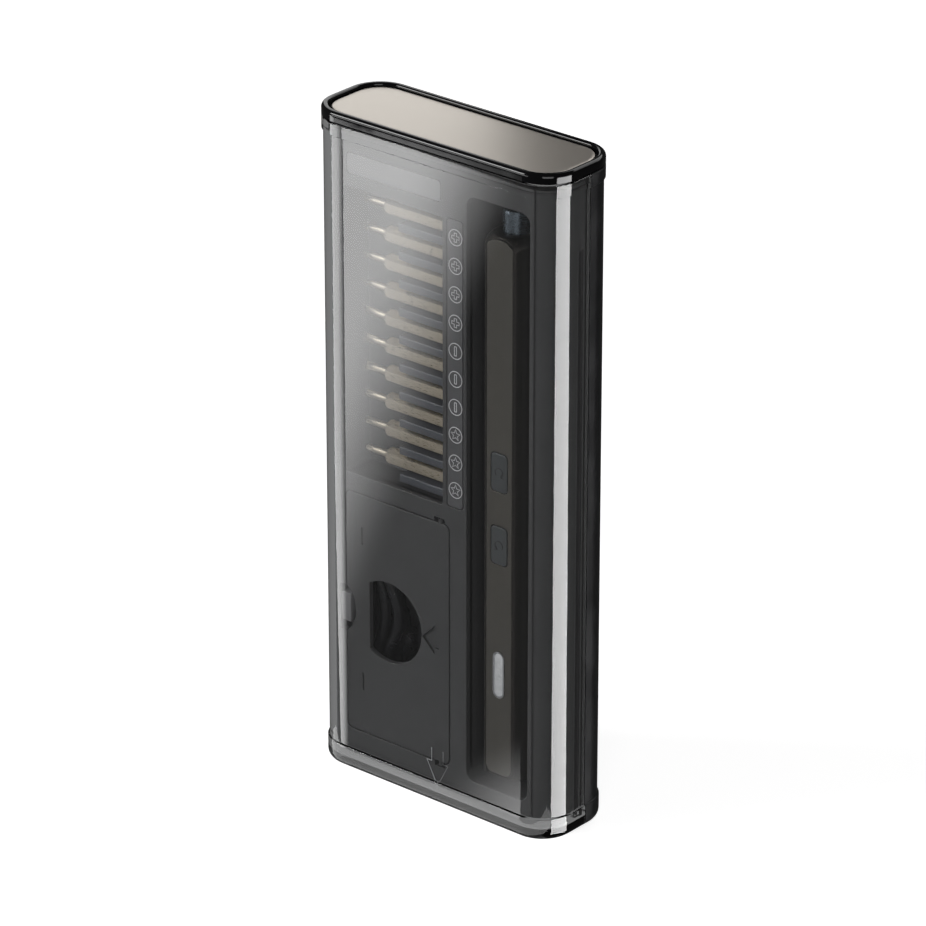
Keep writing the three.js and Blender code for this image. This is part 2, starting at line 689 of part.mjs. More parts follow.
function addPen() {
  const pen = new THREE.Group();
  pen.position.set(PEN.x, PEN.y, 0);
  set.add(pen);
  const names = ["forward", "reverse"];
  add("pen_housing", penHousing(), penBlack, pen);
  add("pen_faceplate", penFaceplate(), gunmetal, pen);
  names.forEach((name, i) => add("button_" + name, penButton(BUTTON.z[i]), buttonPlastic, pen));
  names.forEach((name, i) => add("switch_" + name, tactSwitch(BUTTON.z[i]), canSteel, pen));
  add("indicator_ring", indicatorRing(), chromeRing, pen);
  add("indicator_lens", indicatorLens(), frostedLens, pen);
  const board = box(-BOARD.half, BOARD.half, BOARD.y0, BOARD.y1, BOARD.z0, BOARD.z1);
  add("circuit_board", board, boardGreen, pen);
  add("battery_cell", cylinderZ(CELL.radius, CELL.z0, CELL.z1, 0, CELL.y), cellWrap, pen);
  add("motor", motor(), canSteel, pen);
  add("gearbox", cylinderZ(GEARBOX.radius, GEARBOX.z0, GEARBOX.z1), canSteel, pen);
  add("front_bushing", frontBushing(), bronze, pen);
  add("output_shaft", outputShaft(), chuckSteel, pen);
  add("chuck", chuck(), chuckSteel, pen);
  add("chuck_magnet", cylinderZ(CHUCK.magnet, CHUCK.socketZ + 0.2, CHUCK.socketZ + 1.2), canSteel, pen);
  add("charging_socket", chargingSocket(), canSteel, pen);
  add("tail_cap", tailCap(), penBlack, pen);
}

// ---------------------------------------------------------------- assembly

add("clear_cover", clearCover(), clearPlastic);
add("rear_shell", rearShell(), blackShell);
add("top_rim", topRim(), blackGloss);
add("top_plate", topPlate(), champagneMetal);
add("inner_tray", innerTray(), trayPlastic);
add("bit_rack", bitRack(), rackPlastic);
add("icon_strip", iconStrip(), paleInsert);
add("label_pad", labelPad(), paleInsert);
add("cable_lid", cableLid(), trayPlastic);
add("lid_latch", lidLatch(), paleInsert);
add("cable_coil", cableCoil(), cordBlack);
add("cable_tail_large", tube(TAIL_LARGE, CORD.radius, CORD.sides), cordBlack);
add("cable_tail_small", tube(TAIL_SMALL, CORD.radius, CORD.sides), cordBlack);
add("plug_large_grip", plugGrip(PLUG_LARGE), cordBlack);
add("plug_large_shell", plugShell(PLUG_LARGE), plugSteel);
add("plug_small_grip", plugGrip(PLUG_SMALL), cordBlack);
add("plug_small_shell", plugShell(PLUG_SMALL), plugSteel);
addBits();
addPen();

export default set;
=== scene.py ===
"""Looks for the precision screwdriver set: a clear-fronted case with a pen driver, ten bits and a lead."""
import math

import bmesh
import bpy
from mathutils import Matrix, Vector

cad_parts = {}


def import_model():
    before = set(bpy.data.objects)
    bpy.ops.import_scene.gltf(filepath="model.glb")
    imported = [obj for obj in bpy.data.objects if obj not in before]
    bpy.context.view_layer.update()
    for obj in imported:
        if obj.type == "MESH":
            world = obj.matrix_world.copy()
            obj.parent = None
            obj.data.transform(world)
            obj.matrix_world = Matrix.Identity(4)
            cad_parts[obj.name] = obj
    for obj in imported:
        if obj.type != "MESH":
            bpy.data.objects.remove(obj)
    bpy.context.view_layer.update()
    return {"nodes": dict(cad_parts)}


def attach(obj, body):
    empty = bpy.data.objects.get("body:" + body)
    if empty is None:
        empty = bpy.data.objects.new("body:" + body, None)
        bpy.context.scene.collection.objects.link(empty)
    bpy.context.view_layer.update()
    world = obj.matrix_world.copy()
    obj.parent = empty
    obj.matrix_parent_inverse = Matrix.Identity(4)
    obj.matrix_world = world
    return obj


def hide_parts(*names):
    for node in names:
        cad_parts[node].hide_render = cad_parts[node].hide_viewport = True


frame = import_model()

MM = 0.001

# ------------------------------------------------------------------ driving dimensions, in mm

CASE = dict(width=74.0, depth=25.0, height=170.0, corner=8.8, proud=0.4, band=6.0, foot=2.0)
COVER = dict(wall=1.7, floor=2.4, cut=1.6, top=167.2)
REAR = dict(wall=1.8, floor=2.4, cut=1.9, top=167.2)
RAIL = dict(y0=-1.2, y1=0.4, depth=1.1, top=149.0)
RIM = dict(bottom=167.5, floor=168.35, margin=2.0, round=0.95, lip=0.6)
PLATE = dict(bottom=168.4, top=169.3, inset=2.5)

FRONT_Y = -CASE["depth"] / 2 + CASE["proud"]
FACE_Y = -10.05
TRAY = dict(flat=30.2, half=34.55, z0=4.4, z1=165.4, back=1.5, face=1.4, wall=2.4, bend=-3.7)
WELL = dict(x0=-27, x1=3.2, z0=79, z1=152, floor=-1.2, corner=0.8)
TROUGH = dict(x0=10.5, x1=29, z0=9, z1=159, floor=2.4, corner=2.5)
BAY = dict(x0=-26.3, x1=4.3, z0=11.9, z1=73, floor=4.8, corner=1)
RACK = dict(x0=-12.5, x1=2.9, rib=2.1, front=-7.4, floor=-2.4, back=-1.5)
STRIP = dict(x0=4.7, x1=9.3, z0=79.5, z1=152, thick=0.8)
PAD = dict(x0=-25.8, x1=2.6, z0=155.4, z1=160.5, thick=0.5)
LID = dict(x0=-27, x1=5.1, z0=10.9, z1=74, thick=1.4, corner=1.5)
LID_HOLE = dict(flat=-19.75, z=42.8, radius=10.5, cut=4.74)
LATCH = dict(x0=-28.9, x1=-25.9, z=42.8, height=7.6, notch=12.5, recess=7.85)
HINGE = dict(x=2.3, y=-9.4, pin=0.65, reach=1.1)

BITS = ["cross"] * 4 + ["slot"] * 3 + ["star"] * 3
BIT = dict(pitch=7.086, top=147.8, y=-4.7, flats=4.0, butt=3.0, shoulder=-17.7, tip=7.1)

PEN = dict(x=20.4, y=-4.1, apothem=5.85, face=4.5, side=7.6, corner=0.7)
PEN_Z = dict(tail=13.0, neck=151.4, nose=157.2)
FACEPLATE = dict(half=3.8, thick=0.4, z0=13.7)
BUTTON = dict(width=4.8, height=9.7, thick=1.1, gap=0.2, z=dict(forward=92.4, reverse=73.7))
WINDOW = dict(width=3.5, height=12.2, ring=0.45, z=40.0)
CHUCK = dict(radius=3.1, z0=145.7, flats=4.1, socket=148.0)

CORD = dict(radius=1.4, x=-11.2, z=42.4, straight=14.5, y=-5.85, outer=13.0, step=1.45)
TAIL_LARGE = [(-4.2, -0.1, 48.4), (-4.1, -0.2, 50.5), (-3.4, -0.7, 53), (-2.4, -1.6, 55.6)]
TAIL_SMALL = [(-17.6, -2.4, 52.2), (-17.9, -1.6, 50), (-18.2, -0.7, 47)]
TAIL_SMALL += [(-18.4, -0.2, 44), (-18.4, -0.1, 41.8)]
PLUG_Y = -0.1

CAMERA = dict(azimuth=40.36, elevation=24.75, distance=1317.2, right=0.22, up=0.1, lens=217.5)

# ------------------------------------------------------------------ camera


def direction(azimuth, elevation):
    """The unit vector from the object towards something seen at that azimuth and elevation, in degrees."""
    a, e = math.radians(azimuth), math.radians(elevation)
    return Vector((math.sin(a) * math.cos(e), -math.cos(a) * math.cos(e), math.sin(e)))


def linked(name, data):
    """A new object in the scene."""
    made = bpy.data.objects.new(name, data)
    bpy.context.scene.collection.objects.link(made)
    return made


def make_camera():
    back = direction(CAMERA["azimuth"], CAMERA["elevation"])
    right = direction(CAMERA["azimuth"] + 90, 0)
    up = back.cross(right)
    data = bpy.data.cameras.new("camera")
    data.lens = CAMERA["lens"]
    data.clip_start = 0.01
    data.clip_end = 60
    camera = linked("camera", data)
    centre = Vector((0, 0, CASE["height"] / 2))
    offset = back * CAMERA["distance"] + right * CAMERA["right"] + up * CAMERA["up"]
    camera.location = (centre + offset) * MM
    camera.rotation_mode = "QUATERNION"
    camera.rotation_quaternion = (-back).to_track_quat("-Z", "Y")
    bpy.context.scene.camera = camera


make_camera()

# ------------------------------------------------------------------ outlines


def arc(cx, cy, radius, start, end, steps):
    """Points on an arc, both ends included, with angles in degrees."""
    angles = [math.radians(start + (end - start) * i / steps) for i in range(steps + 1)]
    return [(cx + radius * math.cos(a), cy + radius * math.sin(a)) for a in angles]


def quarter(steps):
    """The angles of a quarter turn, from 0 up, in radians."""
    return [math.pi / 2 * i / steps for i in range(steps + 1)]


def rounded_rect(x0, x1, y0, y1, radius, steps=8):
    return (
        arc(x1 - radius, y0 + radius, radius, -90, 0, steps)
        + arc(x1 - radius, y1 - radius, radius, 0, 90, steps)
        + arc(x0 + radius, y1 - radius, radius, 90, 180, steps)
        + arc(x0 + radius, y0 + radius, radius, 180, 270, steps)
    )


def grown(box, gap, radius, steps=8):
    """A box's outline grown all round by a gap, or shrunk by a negative one."""
    return rounded_rect(box["x0"] - gap, box["x1"] + gap, box["z0"] - gap, box["z1"] + gap, radius, steps)


def case_loop(inset, steps=14):
    """The whole case's outline in X and Y, brought in from the proud bands by an inset."""
    half_w, half_d = CASE["width"] / 2 - inset, CASE["depth"] / 2 - inset
    return rounded_rect(-half_w, half_w, -half_d, half_d, CASE["corner"] - inset, steps)


def block_arrow(x, z, length, head, shaft, angle):
    """A block arrow whose tip is at (x, z), pointing along an angle in degrees."""
    depth = head / 2
    points = [(0, 0), (-depth, head / 2), (-depth, shaft / 2), (-length, shaft / 2)]
    points += [(-length, -shaft / 2), (-depth, -shaft / 2), (-depth, -head / 2)]
    c, s = math.cos(math.radians(angle)), math.sin(math.radians(angle))
    return [(x + c * u - s * v, z + s * u + c * v) for u, v in points]


# ------------------------------------------------------------------ meshes


def finished(bm, weld=0.002):
    """The mesh of a bmesh in mm, welded, with its faces out, in metres."""
    bmesh.ops.remove_doubles(bm, verts=bm.verts, dist=weld)
    bmesh.ops.dissolve_degenerate(bm, edges=bm.edges, dist=weld / 4)
    bmesh.ops.recalc_face_normals(bm, faces=bm.faces)
    bmesh.ops.scale(bm, vec=(MM, MM, MM), verts=bm.verts)
    mesh = bpy.data.meshes.new("shape")
    bm.to_mesh(mesh)
    bm.free()
    return mesh


def skin(rings, weld=0.002):
    """A closed solid through rings of points, with flat ends."""
    bm = bmesh.new()
    made = [[bm.verts.new(p) for p in ring] for ring in rings]
    count = len(rings[0])
    for low, high in zip(made, made[1:]):
        for i in range(count):
            j = (i + 1) % count
            bm.faces.new((low[i], low[j], high[j], high[i]))
    bm.faces.new(made[0][::-1])
    bm.faces.new(made[-1])
    return finished(bm, weld)


def poly_curve(name, dimensions, loops, closed):
    """A curve of straight pieces through each loop of points."""
    curve = bpy.data.curves.new(name, "CURVE")
    curve.dimensions = dimensions
    for loop in loops:
        spline = curve.splines.new("POLY")
        spline.points.add(len(loop) - 1)
        for point, co in zip(spline.points, loop):
            point.co = (*co, 1)
        spline.use_cyclic_u = closed
    return curve


def shown_mesh(holder):
    """The mesh that an object shows. The object itself is removed."""
    bpy.context.view_layer.update()
    mesh = bpy.data.meshes.new_from_object(holder.evaluated_get(bpy.context.evaluated_depsgraph_get()))
    bpy.data.objects.remove(holder)
    return mesh


def welded(mesh):
    bm = bmesh.new()
    bm.from_mesh(mesh)
    bpy.data.meshes.remove(mesh)
    return finished(bm)


def prism(outline, y0, y1, bevel=0.0, holes=(), steps=2):
    """A plate in X and Z from y0 to y1, with round edges all round it and round its holes."""
    loops = [[(x, z, 0) for x, z in loop] for loop in [outline, *holes]]
    curve = poly_curve("plate", "2D", loops, True)
    curve.fill_mode = "BOTH"
    curve.extrude = (y1 - y0) / 2 - bevel
    curve.bevel_depth = bevel
    curve.bevel_resolution = steps
    curve.offset = -bevel
    flat = shown_mesh(linked("plate", curve))
    flat.transform(Matrix(((1, 0, 0, 0), (0, 0, -1, (y0 + y1) / 2), (0, 1, 0, 0), (0, 0, 0, 1))))
    return welded(flat)


def turned(profile, x=0.0, y=0.0, steps=64):
    """A turned solid about a vertical axis: (radius, height) pairs from bottom to top."""
    angles = [2 * math.pi * i / steps for i in range(steps)]
    return skin([[(x + r * math.cos(a), y + r * math.sin(a), z) for a in angles] for r, z in profile])


def block(x0, x1, y0, y1, z0, z1, bevel=0.2, steps=3):
    """A box with round edges."""
    bm = bmesh.new()
    bmesh.ops.create_cube(bm, size=1)
    for v in bm.verts:
        v.co.x = x1 if v.co.x > 0 else x0
        v.co.y = y1 if v.co.y > 0 else y0
        v.co.z = z1 if v.co.z > 0 else z0
    bmesh.ops.bevel(bm, geom=bm.edges, offset=bevel, segments=steps, profile=0.5, affect="EDGES")
    return finished(bm)


def wires(loops, radius, closed=True, resolution=2):
    """Round wire along each of several paths, in mm."""
    curve = poly_curve("wires", "3D", loops, closed)
    curve.bevel_depth = radius
    curve.bevel_resolution = resolution
    curve.use_fill_caps = not closed
    return welded(shown_mesh(linked("wires", curve)))


def joined(*meshes):
    bm = bmesh.new()
    for mesh in meshes:
        bm.from_mesh(mesh)
        bpy.data.meshes.remove(mesh)
    whole = bpy.data.meshes.new("shape")
    bm.to_mesh(whole)
    bm.free()
    return whole


def carved(mesh, *tools):
    """The mesh with the tools' shapes cut out of it."""
    target = linked("target", mesh)
    cutters = [linked("cutter", tool) for tool in tools]
    for cutter in cutters:
        modifier = target.modifiers.new("cut", "BOOLEAN")
        modifier.operation = "DIFFERENCE"
        modifier.solver = "EXACT"
        modifier.object = cutter
    result = shown_mesh(target)
    for cutter in cutters:
        bpy.data.objects.remove(cutter)
    return result


def piece(name, mesh, material, body, nodes=(), crease=32):
    """A shown piece that rides on a body and stands for CAD nodes."""
    mesh.name = name
    mesh.materials.clear()
    mesh.materials.append(material)
    for face in mesh.polygons:
        face.use_smooth = True
    mesh.set_sharp_from_angle(angle=math.radians(crease))
    made = linked(name, mesh)
    normals = made.modifiers.new("normals", "WEIGHTED_NORMAL")
    normals.keep_sharp = True
    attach(made, body)
    if nodes:
        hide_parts(*nodes)
    return made


# ------------------------------------------------------------------ materials


class Nodes:
    """A material's node tree with short calls for the nodes used here."""

    def __init__(self, name):
        self.material = bpy.data.materials.new(name)
        self.material.use_nodes = True
        self.tree = self.material.node_tree
        self.shader = self.tree.nodes["Principled BSDF"]
        self.output = self.tree.nodes["Material Output"]
        self.place = self.add("ShaderNodeTexCoord").outputs["Object"]

    def add(self, kind, values=None, **settings):
        """A new node with its settings, and with values on its inputs."""
        node = self.tree.nodes.new(kind)
        for key, value in settings.items():
            setattr(node, key, value)
        for key, value in (values or {}).items():
            node.inputs[key].default_value = value
        return node

    def link(self, source, target):
        self.tree.links.new(source, target)

    def feed(self, source, name):
        self.link(source, self.shader.inputs[name])

    def set(self, **values):
        for name, value in values.items():
            self.shader.inputs[name.replace("_", " ")].default_value = value

    def noise(self, size, detail=3.0, stretch=(1, 1, 1)):
        """Noise with features of about that size in mm, longer along an axis whose stretch is over 1."""
        mapping = self.add("ShaderNodeMapping", {"Scale": [1 / (size * MM * s) for s in stretch]})
        self.link(self.place, mapping.inputs["Vector"])
        noise = self.add("ShaderNodeTexNoise", {"Scale": 1.0, "Detail": detail})
        self.link(mapping.outputs["Vector"], noise.inputs["Vector"])
        return noise.outputs["Fac"]

    def ranged(self, source, low, high, start=0.3, end=0.7):
        values = {"From Min": start, "From Max": end, "To Min": low, "To Max": high}
        node = self.add("ShaderNodeMapRange", values)
        self.link(source, node.inputs["Value"])
        return node.outputs["Result"]

    def colours(self, source, low, high, start=0.3, end=0.7):
        ramp = self.add("ShaderNodeValToRGB")
        ramp.color_ramp.elements[0].position = start
        ramp.color_ramp.elements[0].color = (*low, 1)
        ramp.color_ramp.elements[1].position = end
        ramp.color_ramp.elements[1].color = (*high, 1)
        self.link(source, ramp.inputs["Fac"])
        return ramp.outputs["Color"]

    def bump(self, source, height, strength=1.0):
        """Bump of that height in mm."""
        node = self.add("ShaderNodeBump", {"Distance": height * MM, "Strength": strength})
        self.link(source, node.inputs["Height"])
        self.feed(node.outputs["Normal"], "Normal")


def shade(colour, by):
    return tuple(c * by for c in colour)


def plastic(name, colour, roughness, grain=0.35, height=0.004, spread=0.08):
    """Moulded plastic: a fine spark-eroded grain, with slow changes of tone and gloss."""
    n = Nodes(name)
    n.feed(n.colours(n.noise(18, 4), shade(colour, 1 - spread), shade(colour, 1 + spread)), "Base Color")
    n.feed(n.ranged(n.noise(9, 4), roughness - 0.05, roughness + 0.05), "Roughness")
    n.bump(n.noise(grain, 2), height)
    n.set(Specular_IOR_Level=0.35)
    return n.material


def metal(name, colour, roughness, stretch=(1, 1, 30), grain=0.12, height=0.0015, spread=0.07):
    """Brushed or turned metal, with its lines along the stretched axis."""
    n = Nodes(name)
    n.set(Metallic=1.0)
    lines = n.noise(grain, 3, stretch)
    n.feed(n.colours(lines, shade(colour, 1 - spread), shade(colour, 1 + spread)), "Base Color")
    n.feed(n.ranged(lines, roughness - 0.05, roughness + 0.06), "Roughness")
    n.bump(lines, height)
    return n.material


def clear_plastic():
    """Polished clear plastic. Diffuse and shadow rays go straight through it to what it covers."""
    n = Nodes("clear_plastic")
    n.set(Transmission_Weight=1.0, IOR=1.49)
    n.feed(n.colours(n.noise(30, 2), (0.955, 0.965, 0.97), (0.985, 0.99, 0.99)), "Base Color")
    n.feed(n.ranged(n.noise(14, 4), 0.0, 0.012, 0.45, 0.75), "Roughness")
    path = n.add("ShaderNodeLightPath")
    through = n.add("ShaderNodeBsdfTransparent")
    first = n.shader.outputs["BSDF"]
    for ray in ("Is Diffuse Ray", "Is Shadow Ray"):
        mix = n.add("ShaderNodeMixShader")
        n.link(path.outputs[ray], mix.inputs[0])
        n.link(first, mix.inputs[1])
        n.link(through.outputs["BSDF"], mix.inputs[2])
        first = mix.outputs["Shader"]
    n.link(first, n.output.inputs["Surface"])
    return n.material


def frosted_lens():
    n = Nodes("frosted_lens")
    n.feed(n.colours(n.noise(2, 3), (0.42, 0.43, 0.44), (0.6, 0.61, 0.62)), "Base Color")
    n.feed(n.ranged(n.noise(0.5, 3), 0.18, 0.3), "Roughness")
    n.set(Coat_Weight=0.6, Coat_Roughness=0.08)
    n.bump(n.noise(0.25, 2), 0.004)
    return n.material


def circuit_green():
    n = Nodes("circuit_green")
    tracks = n.noise(0.6, 1, (1, 1, 6))
    n.feed(n.colours(tracks, (0.01, 0.08, 0.03), (0.02, 0.15, 0.05), 0.48, 0.52), "Base Color")
    n.set(Roughness=0.35)
    return n.material


LOOKS = dict(
    clear=clear_plastic(),
    shell=plastic("black_shell", (0.0125, 0.0125, 0.0135), 0.36, 0.3, 0.003, 0.1),
    gloss=plastic("gloss_black", (0.004, 0.004, 0.0045), 0.07, 6.0, 0.001, 0.15),
    champagne=metal("champagne_metal", (0.46, 0.425, 0.38), 0.34, (30, 1, 1), 0.1, 0.001, 0.04),
    tray=plastic("tray_plastic", (0.033, 0.033, 0.034), 0.55),
    rack=plastic("rack_plastic", (0.045, 0.048, 0.056), 0.45),
    strip=plastic("strip_plastic", (0.062, 0.062, 0.065), 0.5),
    pad=plastic("pad_plastic", (0.1, 0.1, 0.104), 0.5, 0.5, 0.006),
    ink=plastic("pale_ink", (0.5, 0.5, 0.51), 0.6),
    bit=metal("bit_steel", (0.5, 0.44, 0.35), 0.3, (20, 1, 1), 0.1),
    pen=metal("pen_body", (0.045, 0.041, 0.038), 0.34, (1, 1, 25), 0.12),
    gunmetal=metal("gunmetal", (0.13, 0.123, 0.11), 0.36, (1, 1, 25), 0.12),
    button=plastic("button_plastic", (0.042, 0.045, 0.047), 0.4, 0.25),
    mark=plastic("dark_mark", (0.008, 0.008, 0.009), 0.5, 0.25),
    chrome=metal("chrome_trim", (0.85, 0.85, 0.87), 0.1, (1, 1, 1), 0.8, 0.0005, 0.03),
    lens=frosted_lens(),
    # Pale wire for the cover arrow's edges: painted highlight, standing for the light that the embossed edges
    # catch.
    arrow_highlight=plastic("painted_arrow_highlight", (0.4, 0.41, 0.42), 0.35),
    chuck=metal("chuck_steel", (0.17, 0.2, 0.23), 0.28, (8, 8, 1), 0.1),
    cord=plastic("cord_jacket", (0.007, 0.007, 0.008), 0.24, 0.8, 0.006, 0.15),
    plug=metal("plug_steel", (0.72, 0.72, 0.74), 0.2, (1, 1, 12), 0.15),
    can=metal("can_steel", (0.5, 0.5, 0.5), 0.32, (6, 6, 1), 0.2),
    wrap=plastic("cell_wrap", (0.03, 0.11, 0.27), 0.35, 0.8, 0.004),
    board=circuit_green(),
    bronze=metal("bronze", (0.45, 0.28, 0.12), 0.4, (5, 5, 1), 0.2),
)

# ------------------------------------------------------------------ charging lead


def lead_route():
    """The lead's centreline: from the large plug, inward turn by turn, and behind them to the small plug."""
    cx, cz, straight, level = CORD["x"], CORD["z"], CORD["straight"], CORD["y"]
    arc_steps, run_steps = 14, 10
    points = list(TAIL_LARGE)

    def half_turn(r0, r1, top, depths):
        """Half a turn over the top, right to left, or under the bottom, left to right."""
        for i in range(arc_steps + 1):
            s = i / arc_steps
            angle = math.pi * (s if top else 1 + s)
            r = r0 + (r1 - r0) * s
            z = cz + (straight if top else -straight) + r * math.sin(angle)
            points.append((cx + r * math.cos(angle), depths(s), z))

    def run(x, down, bow, depths):
        """A straight stretch that bows a little towards the middle."""
        for i in range(1, run_steps):
            s = i / run_steps
            z = cz + straight * ((1 - 2 * s) if down else (2 * s - 1))
            points.append((x + bow * math.sin(math.pi * s) ** 2, depths(s), z))

    def flat(s):
        return level

    outer, step = CORD["outer"], CORD["step"]
    half_turn(9.7, outer, True, lambda s: level + 3.45 - 0.45 * s - 2.45 * s**5)
    run(cx - outer, True, 1.0, lambda s: level + 0.55 * (1 - s) ** 3)
    half_turn(outer, outer - step, False, flat)
    run(cx + outer - step, False, 0.0, flat)
    half_turn(outer - step, outer - 2 * step, True, flat)
    run(cx - outer + 2 * step, True, 3.0, flat)
    half_turn(outer - 2 * step, outer - 3 * step, False, flat)
    run(cx + outer - 3 * step, False, 0.0, flat)
    half_turn(outer - 3 * step, outer - 4 * step, True, flat)
    run(cx - outer + 4 * step, True, 4.5, flat)
    half_turn(outer - 4 * step, outer - 5 * step, False, flat)
    run(cx + outer - 5 * step, False, 0.0, lambda s: level + 1.25 * s**2)
    half_turn(outer - 5 * step, 6.4, True, lambda s: level + 1.25 + 2.1 * math.sin(math.pi / 2 * s))
    points.extend(TAIL_SMALL)
    return points


def lead():
    route = [[c * MM for c in co] for co in lead_route()]
    curve = poly_curve("charging_lead", "3D", [route], False)
    curve.bevel_depth = CORD["radius"] * MM
    curve.bevel_resolution = 5
    curve.use_fill_caps = True
    curve.splines[0].use_smooth = True
    curve.materials.append(LOOKS["cord"])
    made = linked("charging_lead", curve)
    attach(made, "case")
    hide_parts("cable_coil", "cable_tail_large", "cable_tail_small")
    return made


def plug(name, x, grip, relief):
    """A moulded grip with a ribbed strain relief."""
    width, thick, z0, z1 = grip
    sizes = [(0.6, z0), (0.15, z0 + 0.25), (0, z0 + 0.7), (0, z1 - 3), (0.25, z1 - 1), (1.0, z1)]
    rings = []
    for inset, z in sizes:
        w, t = width / 2 - inset, thick / 2 - inset * 0.7
        rings.append([(x + u, PLUG_Y + v, z) for u, v in rounded_rect(-w, w, -t, t, t * 0.8, 6)])
    neck = [(2.6, z1 - 0.5)]
    for i in range(4):
        top = z1 + (relief - z1) * i / 4
        radius = 2.5 - 0.15 * i
        neck += [(radius, top + 0.3), (radius, top + 0.8)]
        neck += [(radius - 0.35, top + 0.9), (radius - 0.35, top + 1.15)]
    neck += [(1.75, relief)]
    mesh, node = joined(skin(rings), turned(neck, x, PLUG_Y, 24)), "plug_" + name
    return piece(node + "_body", mesh, LOOKS["cord"], "case", [node + "_grip"])


PLUGS = [
    plug("large", -4.2, (14.6, 7.6, 26.3, 43), 48),
    plug("small", -18.4, (10.8, 6, 20.2, 36.4), 41.4),
    frame["nodes"]["plug_large_shell"],
    frame["nodes"]["plug_small_shell"],
]
lead()

# ------------------------------------------------------------------ case


def front_path(offset, cut, rail=0.0, steps=14, railed=False):
    """The case wall's outline from the left edge round the front to the right edge, in X and Y."""
    half = CASE["width"] / 2 - CASE["proud"] + offset
    radius = CASE["corner"] - CASE["proud"] + offset
    cx, cy = CASE["width"] / 2 - CASE["corner"], -CASE["depth"] / 2 + CASE["corner"]
    side = [(half, cut)]
    if railed:
        side += [(half, RAIL["y1"]), (half - rail, RAIL["y1"]), (half - rail, RAIL["y0"]), (half, RAIL["y0"])]
    left = [(-x, y) for x, y in side]
    corner_l = arc(-cx, cy, radius, 180, 270, steps)
    corner_r = arc(cx, cy, radius, 270, 360, steps)
    return left + corner_l + corner_r + side[::-1]


def wall_shell(cut, outer, inner, mirror):
    """A wall round the front of the case over a floor, cut off at a plane of constant Y.
    outer and inner are (height, offset, rail depth) from bottom to top."""
    flip = -1 if mirror else 1
    bm = bmesh.new()

    def column(levels, railed):
        paths = [(z, front_path(offset, flip * cut, rail, railed=railed)) for z, offset, rail in levels]
        return [[bm.verts.new((x, flip * y, z)) for x, y in path] for z, path in paths]

    outside, inside = column(outer, False), column(inner, not mirror)
    for rows in (outside, inside):
        for low, high in zip(rows, rows[1:]):
            for i in range(len(low) - 1):
                bm.faces.new((low[i], low[i + 1], high[i + 1], high[i]))
    bm.faces.new(outside[0])
    bm.faces.new(inside[0])
    bm.faces.new(outside[-1] + inside[-1][::-1])
    back = [row[0] for row in outside[::-1]] + [row[-1] for row in outside]
    back += [row[-1] for row in inside[::-1]] + [row[0] for row in inside]
    bm.faces.new(back)
    return finished(bm)


def floor_edge(floor, wall):
    """The inside's levels at the foot, where the floor meets the wall."""
    levels = [(floor, -wall - 0.6, 0.0), (floor + 0.15, -wall - 0.25, 0.0)]
    return levels + [(floor + 0.6, -wall, 0.0), (floor + 1.0, -wall, 0.0)]


def outer_levels(top):
    """The wall's outside: a round foot, the lower proud band, the wall and the upper proud band."""
    r, proud, band = CASE["foot"], CASE["proud"], CASE["band"]
    foot = [(r * (1 - math.cos(a)), proud - r * (1 - math.sin(a))) for a in quarter(6)]
    high = CASE["height"] - band
    levels = foot + [(r + 0.3, proud), (band - 0.45, proud), (band - 0.2, proud), (band - 0.1, proud * 0.8)]
    levels += [(band, proud * 0.35), (band + 0.12, 0.0), (band + 0.5, 0.0)]
    levels += [(high - 0.5, 0.0), (high - 0.12, 0.0), (high, proud * 0.35), (high + 0.1, proud * 0.8)]
    levels += [(high + 0.2, proud), (high + 0.5, proud), (top - 0.5, proud)]
    levels += [(top - 0.15, proud), (top, proud - 0.15)]
    return [(z, offset, 0.0) for z, offset in levels]


def clear_cover():
    wall, floor, top = COVER["wall"], COVER["floor"], COVER["top"]
    rail = RAIL["depth"]
    inner = floor_edge(floor, wall)
    inner += [(floor + 1.01, -wall, rail), (RAIL["top"], -wall, rail), (RAIL["top"] + 0.01, -wall, 0.0)]
    inner += [(164.6, -wall, 0.0), (164.9, -wall, 0.0), (165.0, -wall + 0.5, 0.0)]
    inner += [(165.3, -wall + 0.5, 0.0), (top, -wall + 0.5, 0.0)]
    mesh = wall_shell(COVER["cut"], outer_levels(top), inner, False)
    piece("cover_shell", mesh, LOOKS["clear"], "cover", ["clear_cover"])
    # The cover's embossed arrow, drawn as pale wires on the inside face of the wall: painted highlight where
    # its edges catch light, bolder on the lit left half than on the shaded right half.
    y = FRONT_Y + COVER["wall"] - 0.05
    tip, half, shaft, barb, tail = (1.8, 4.3), 3.3, 1.8, 10.6, 14.1
    lit = [(tip[0] - shaft, y, tail), (tip[0] - shaft, y, barb)]
    lit += [(tip[0] - half, y, barb), (tip[0], y, tip[1])]
    shaded_half = [(2 * tip[0] - u, v, w) for u, v, w in lit]
    mark = joined(wires([lit], 0.12, closed=False), wires([shaded_half], 0.05, closed=False))
    piece("cover_arrow", mark, LOOKS["arrow_highlight"], "cover")


def rear_shell():
    wall, floor, top = REAR["wall"], REAR["floor"], REAR["top"]
    inner = floor_edge(floor, wall) + [(top, -wall, 0.0)]
    mesh = wall_shell(REAR["cut"], outer_levels(top), inner, True)
    piece("back_shell", mesh, LOOKS["shell"], "case", ["rear_shell"])


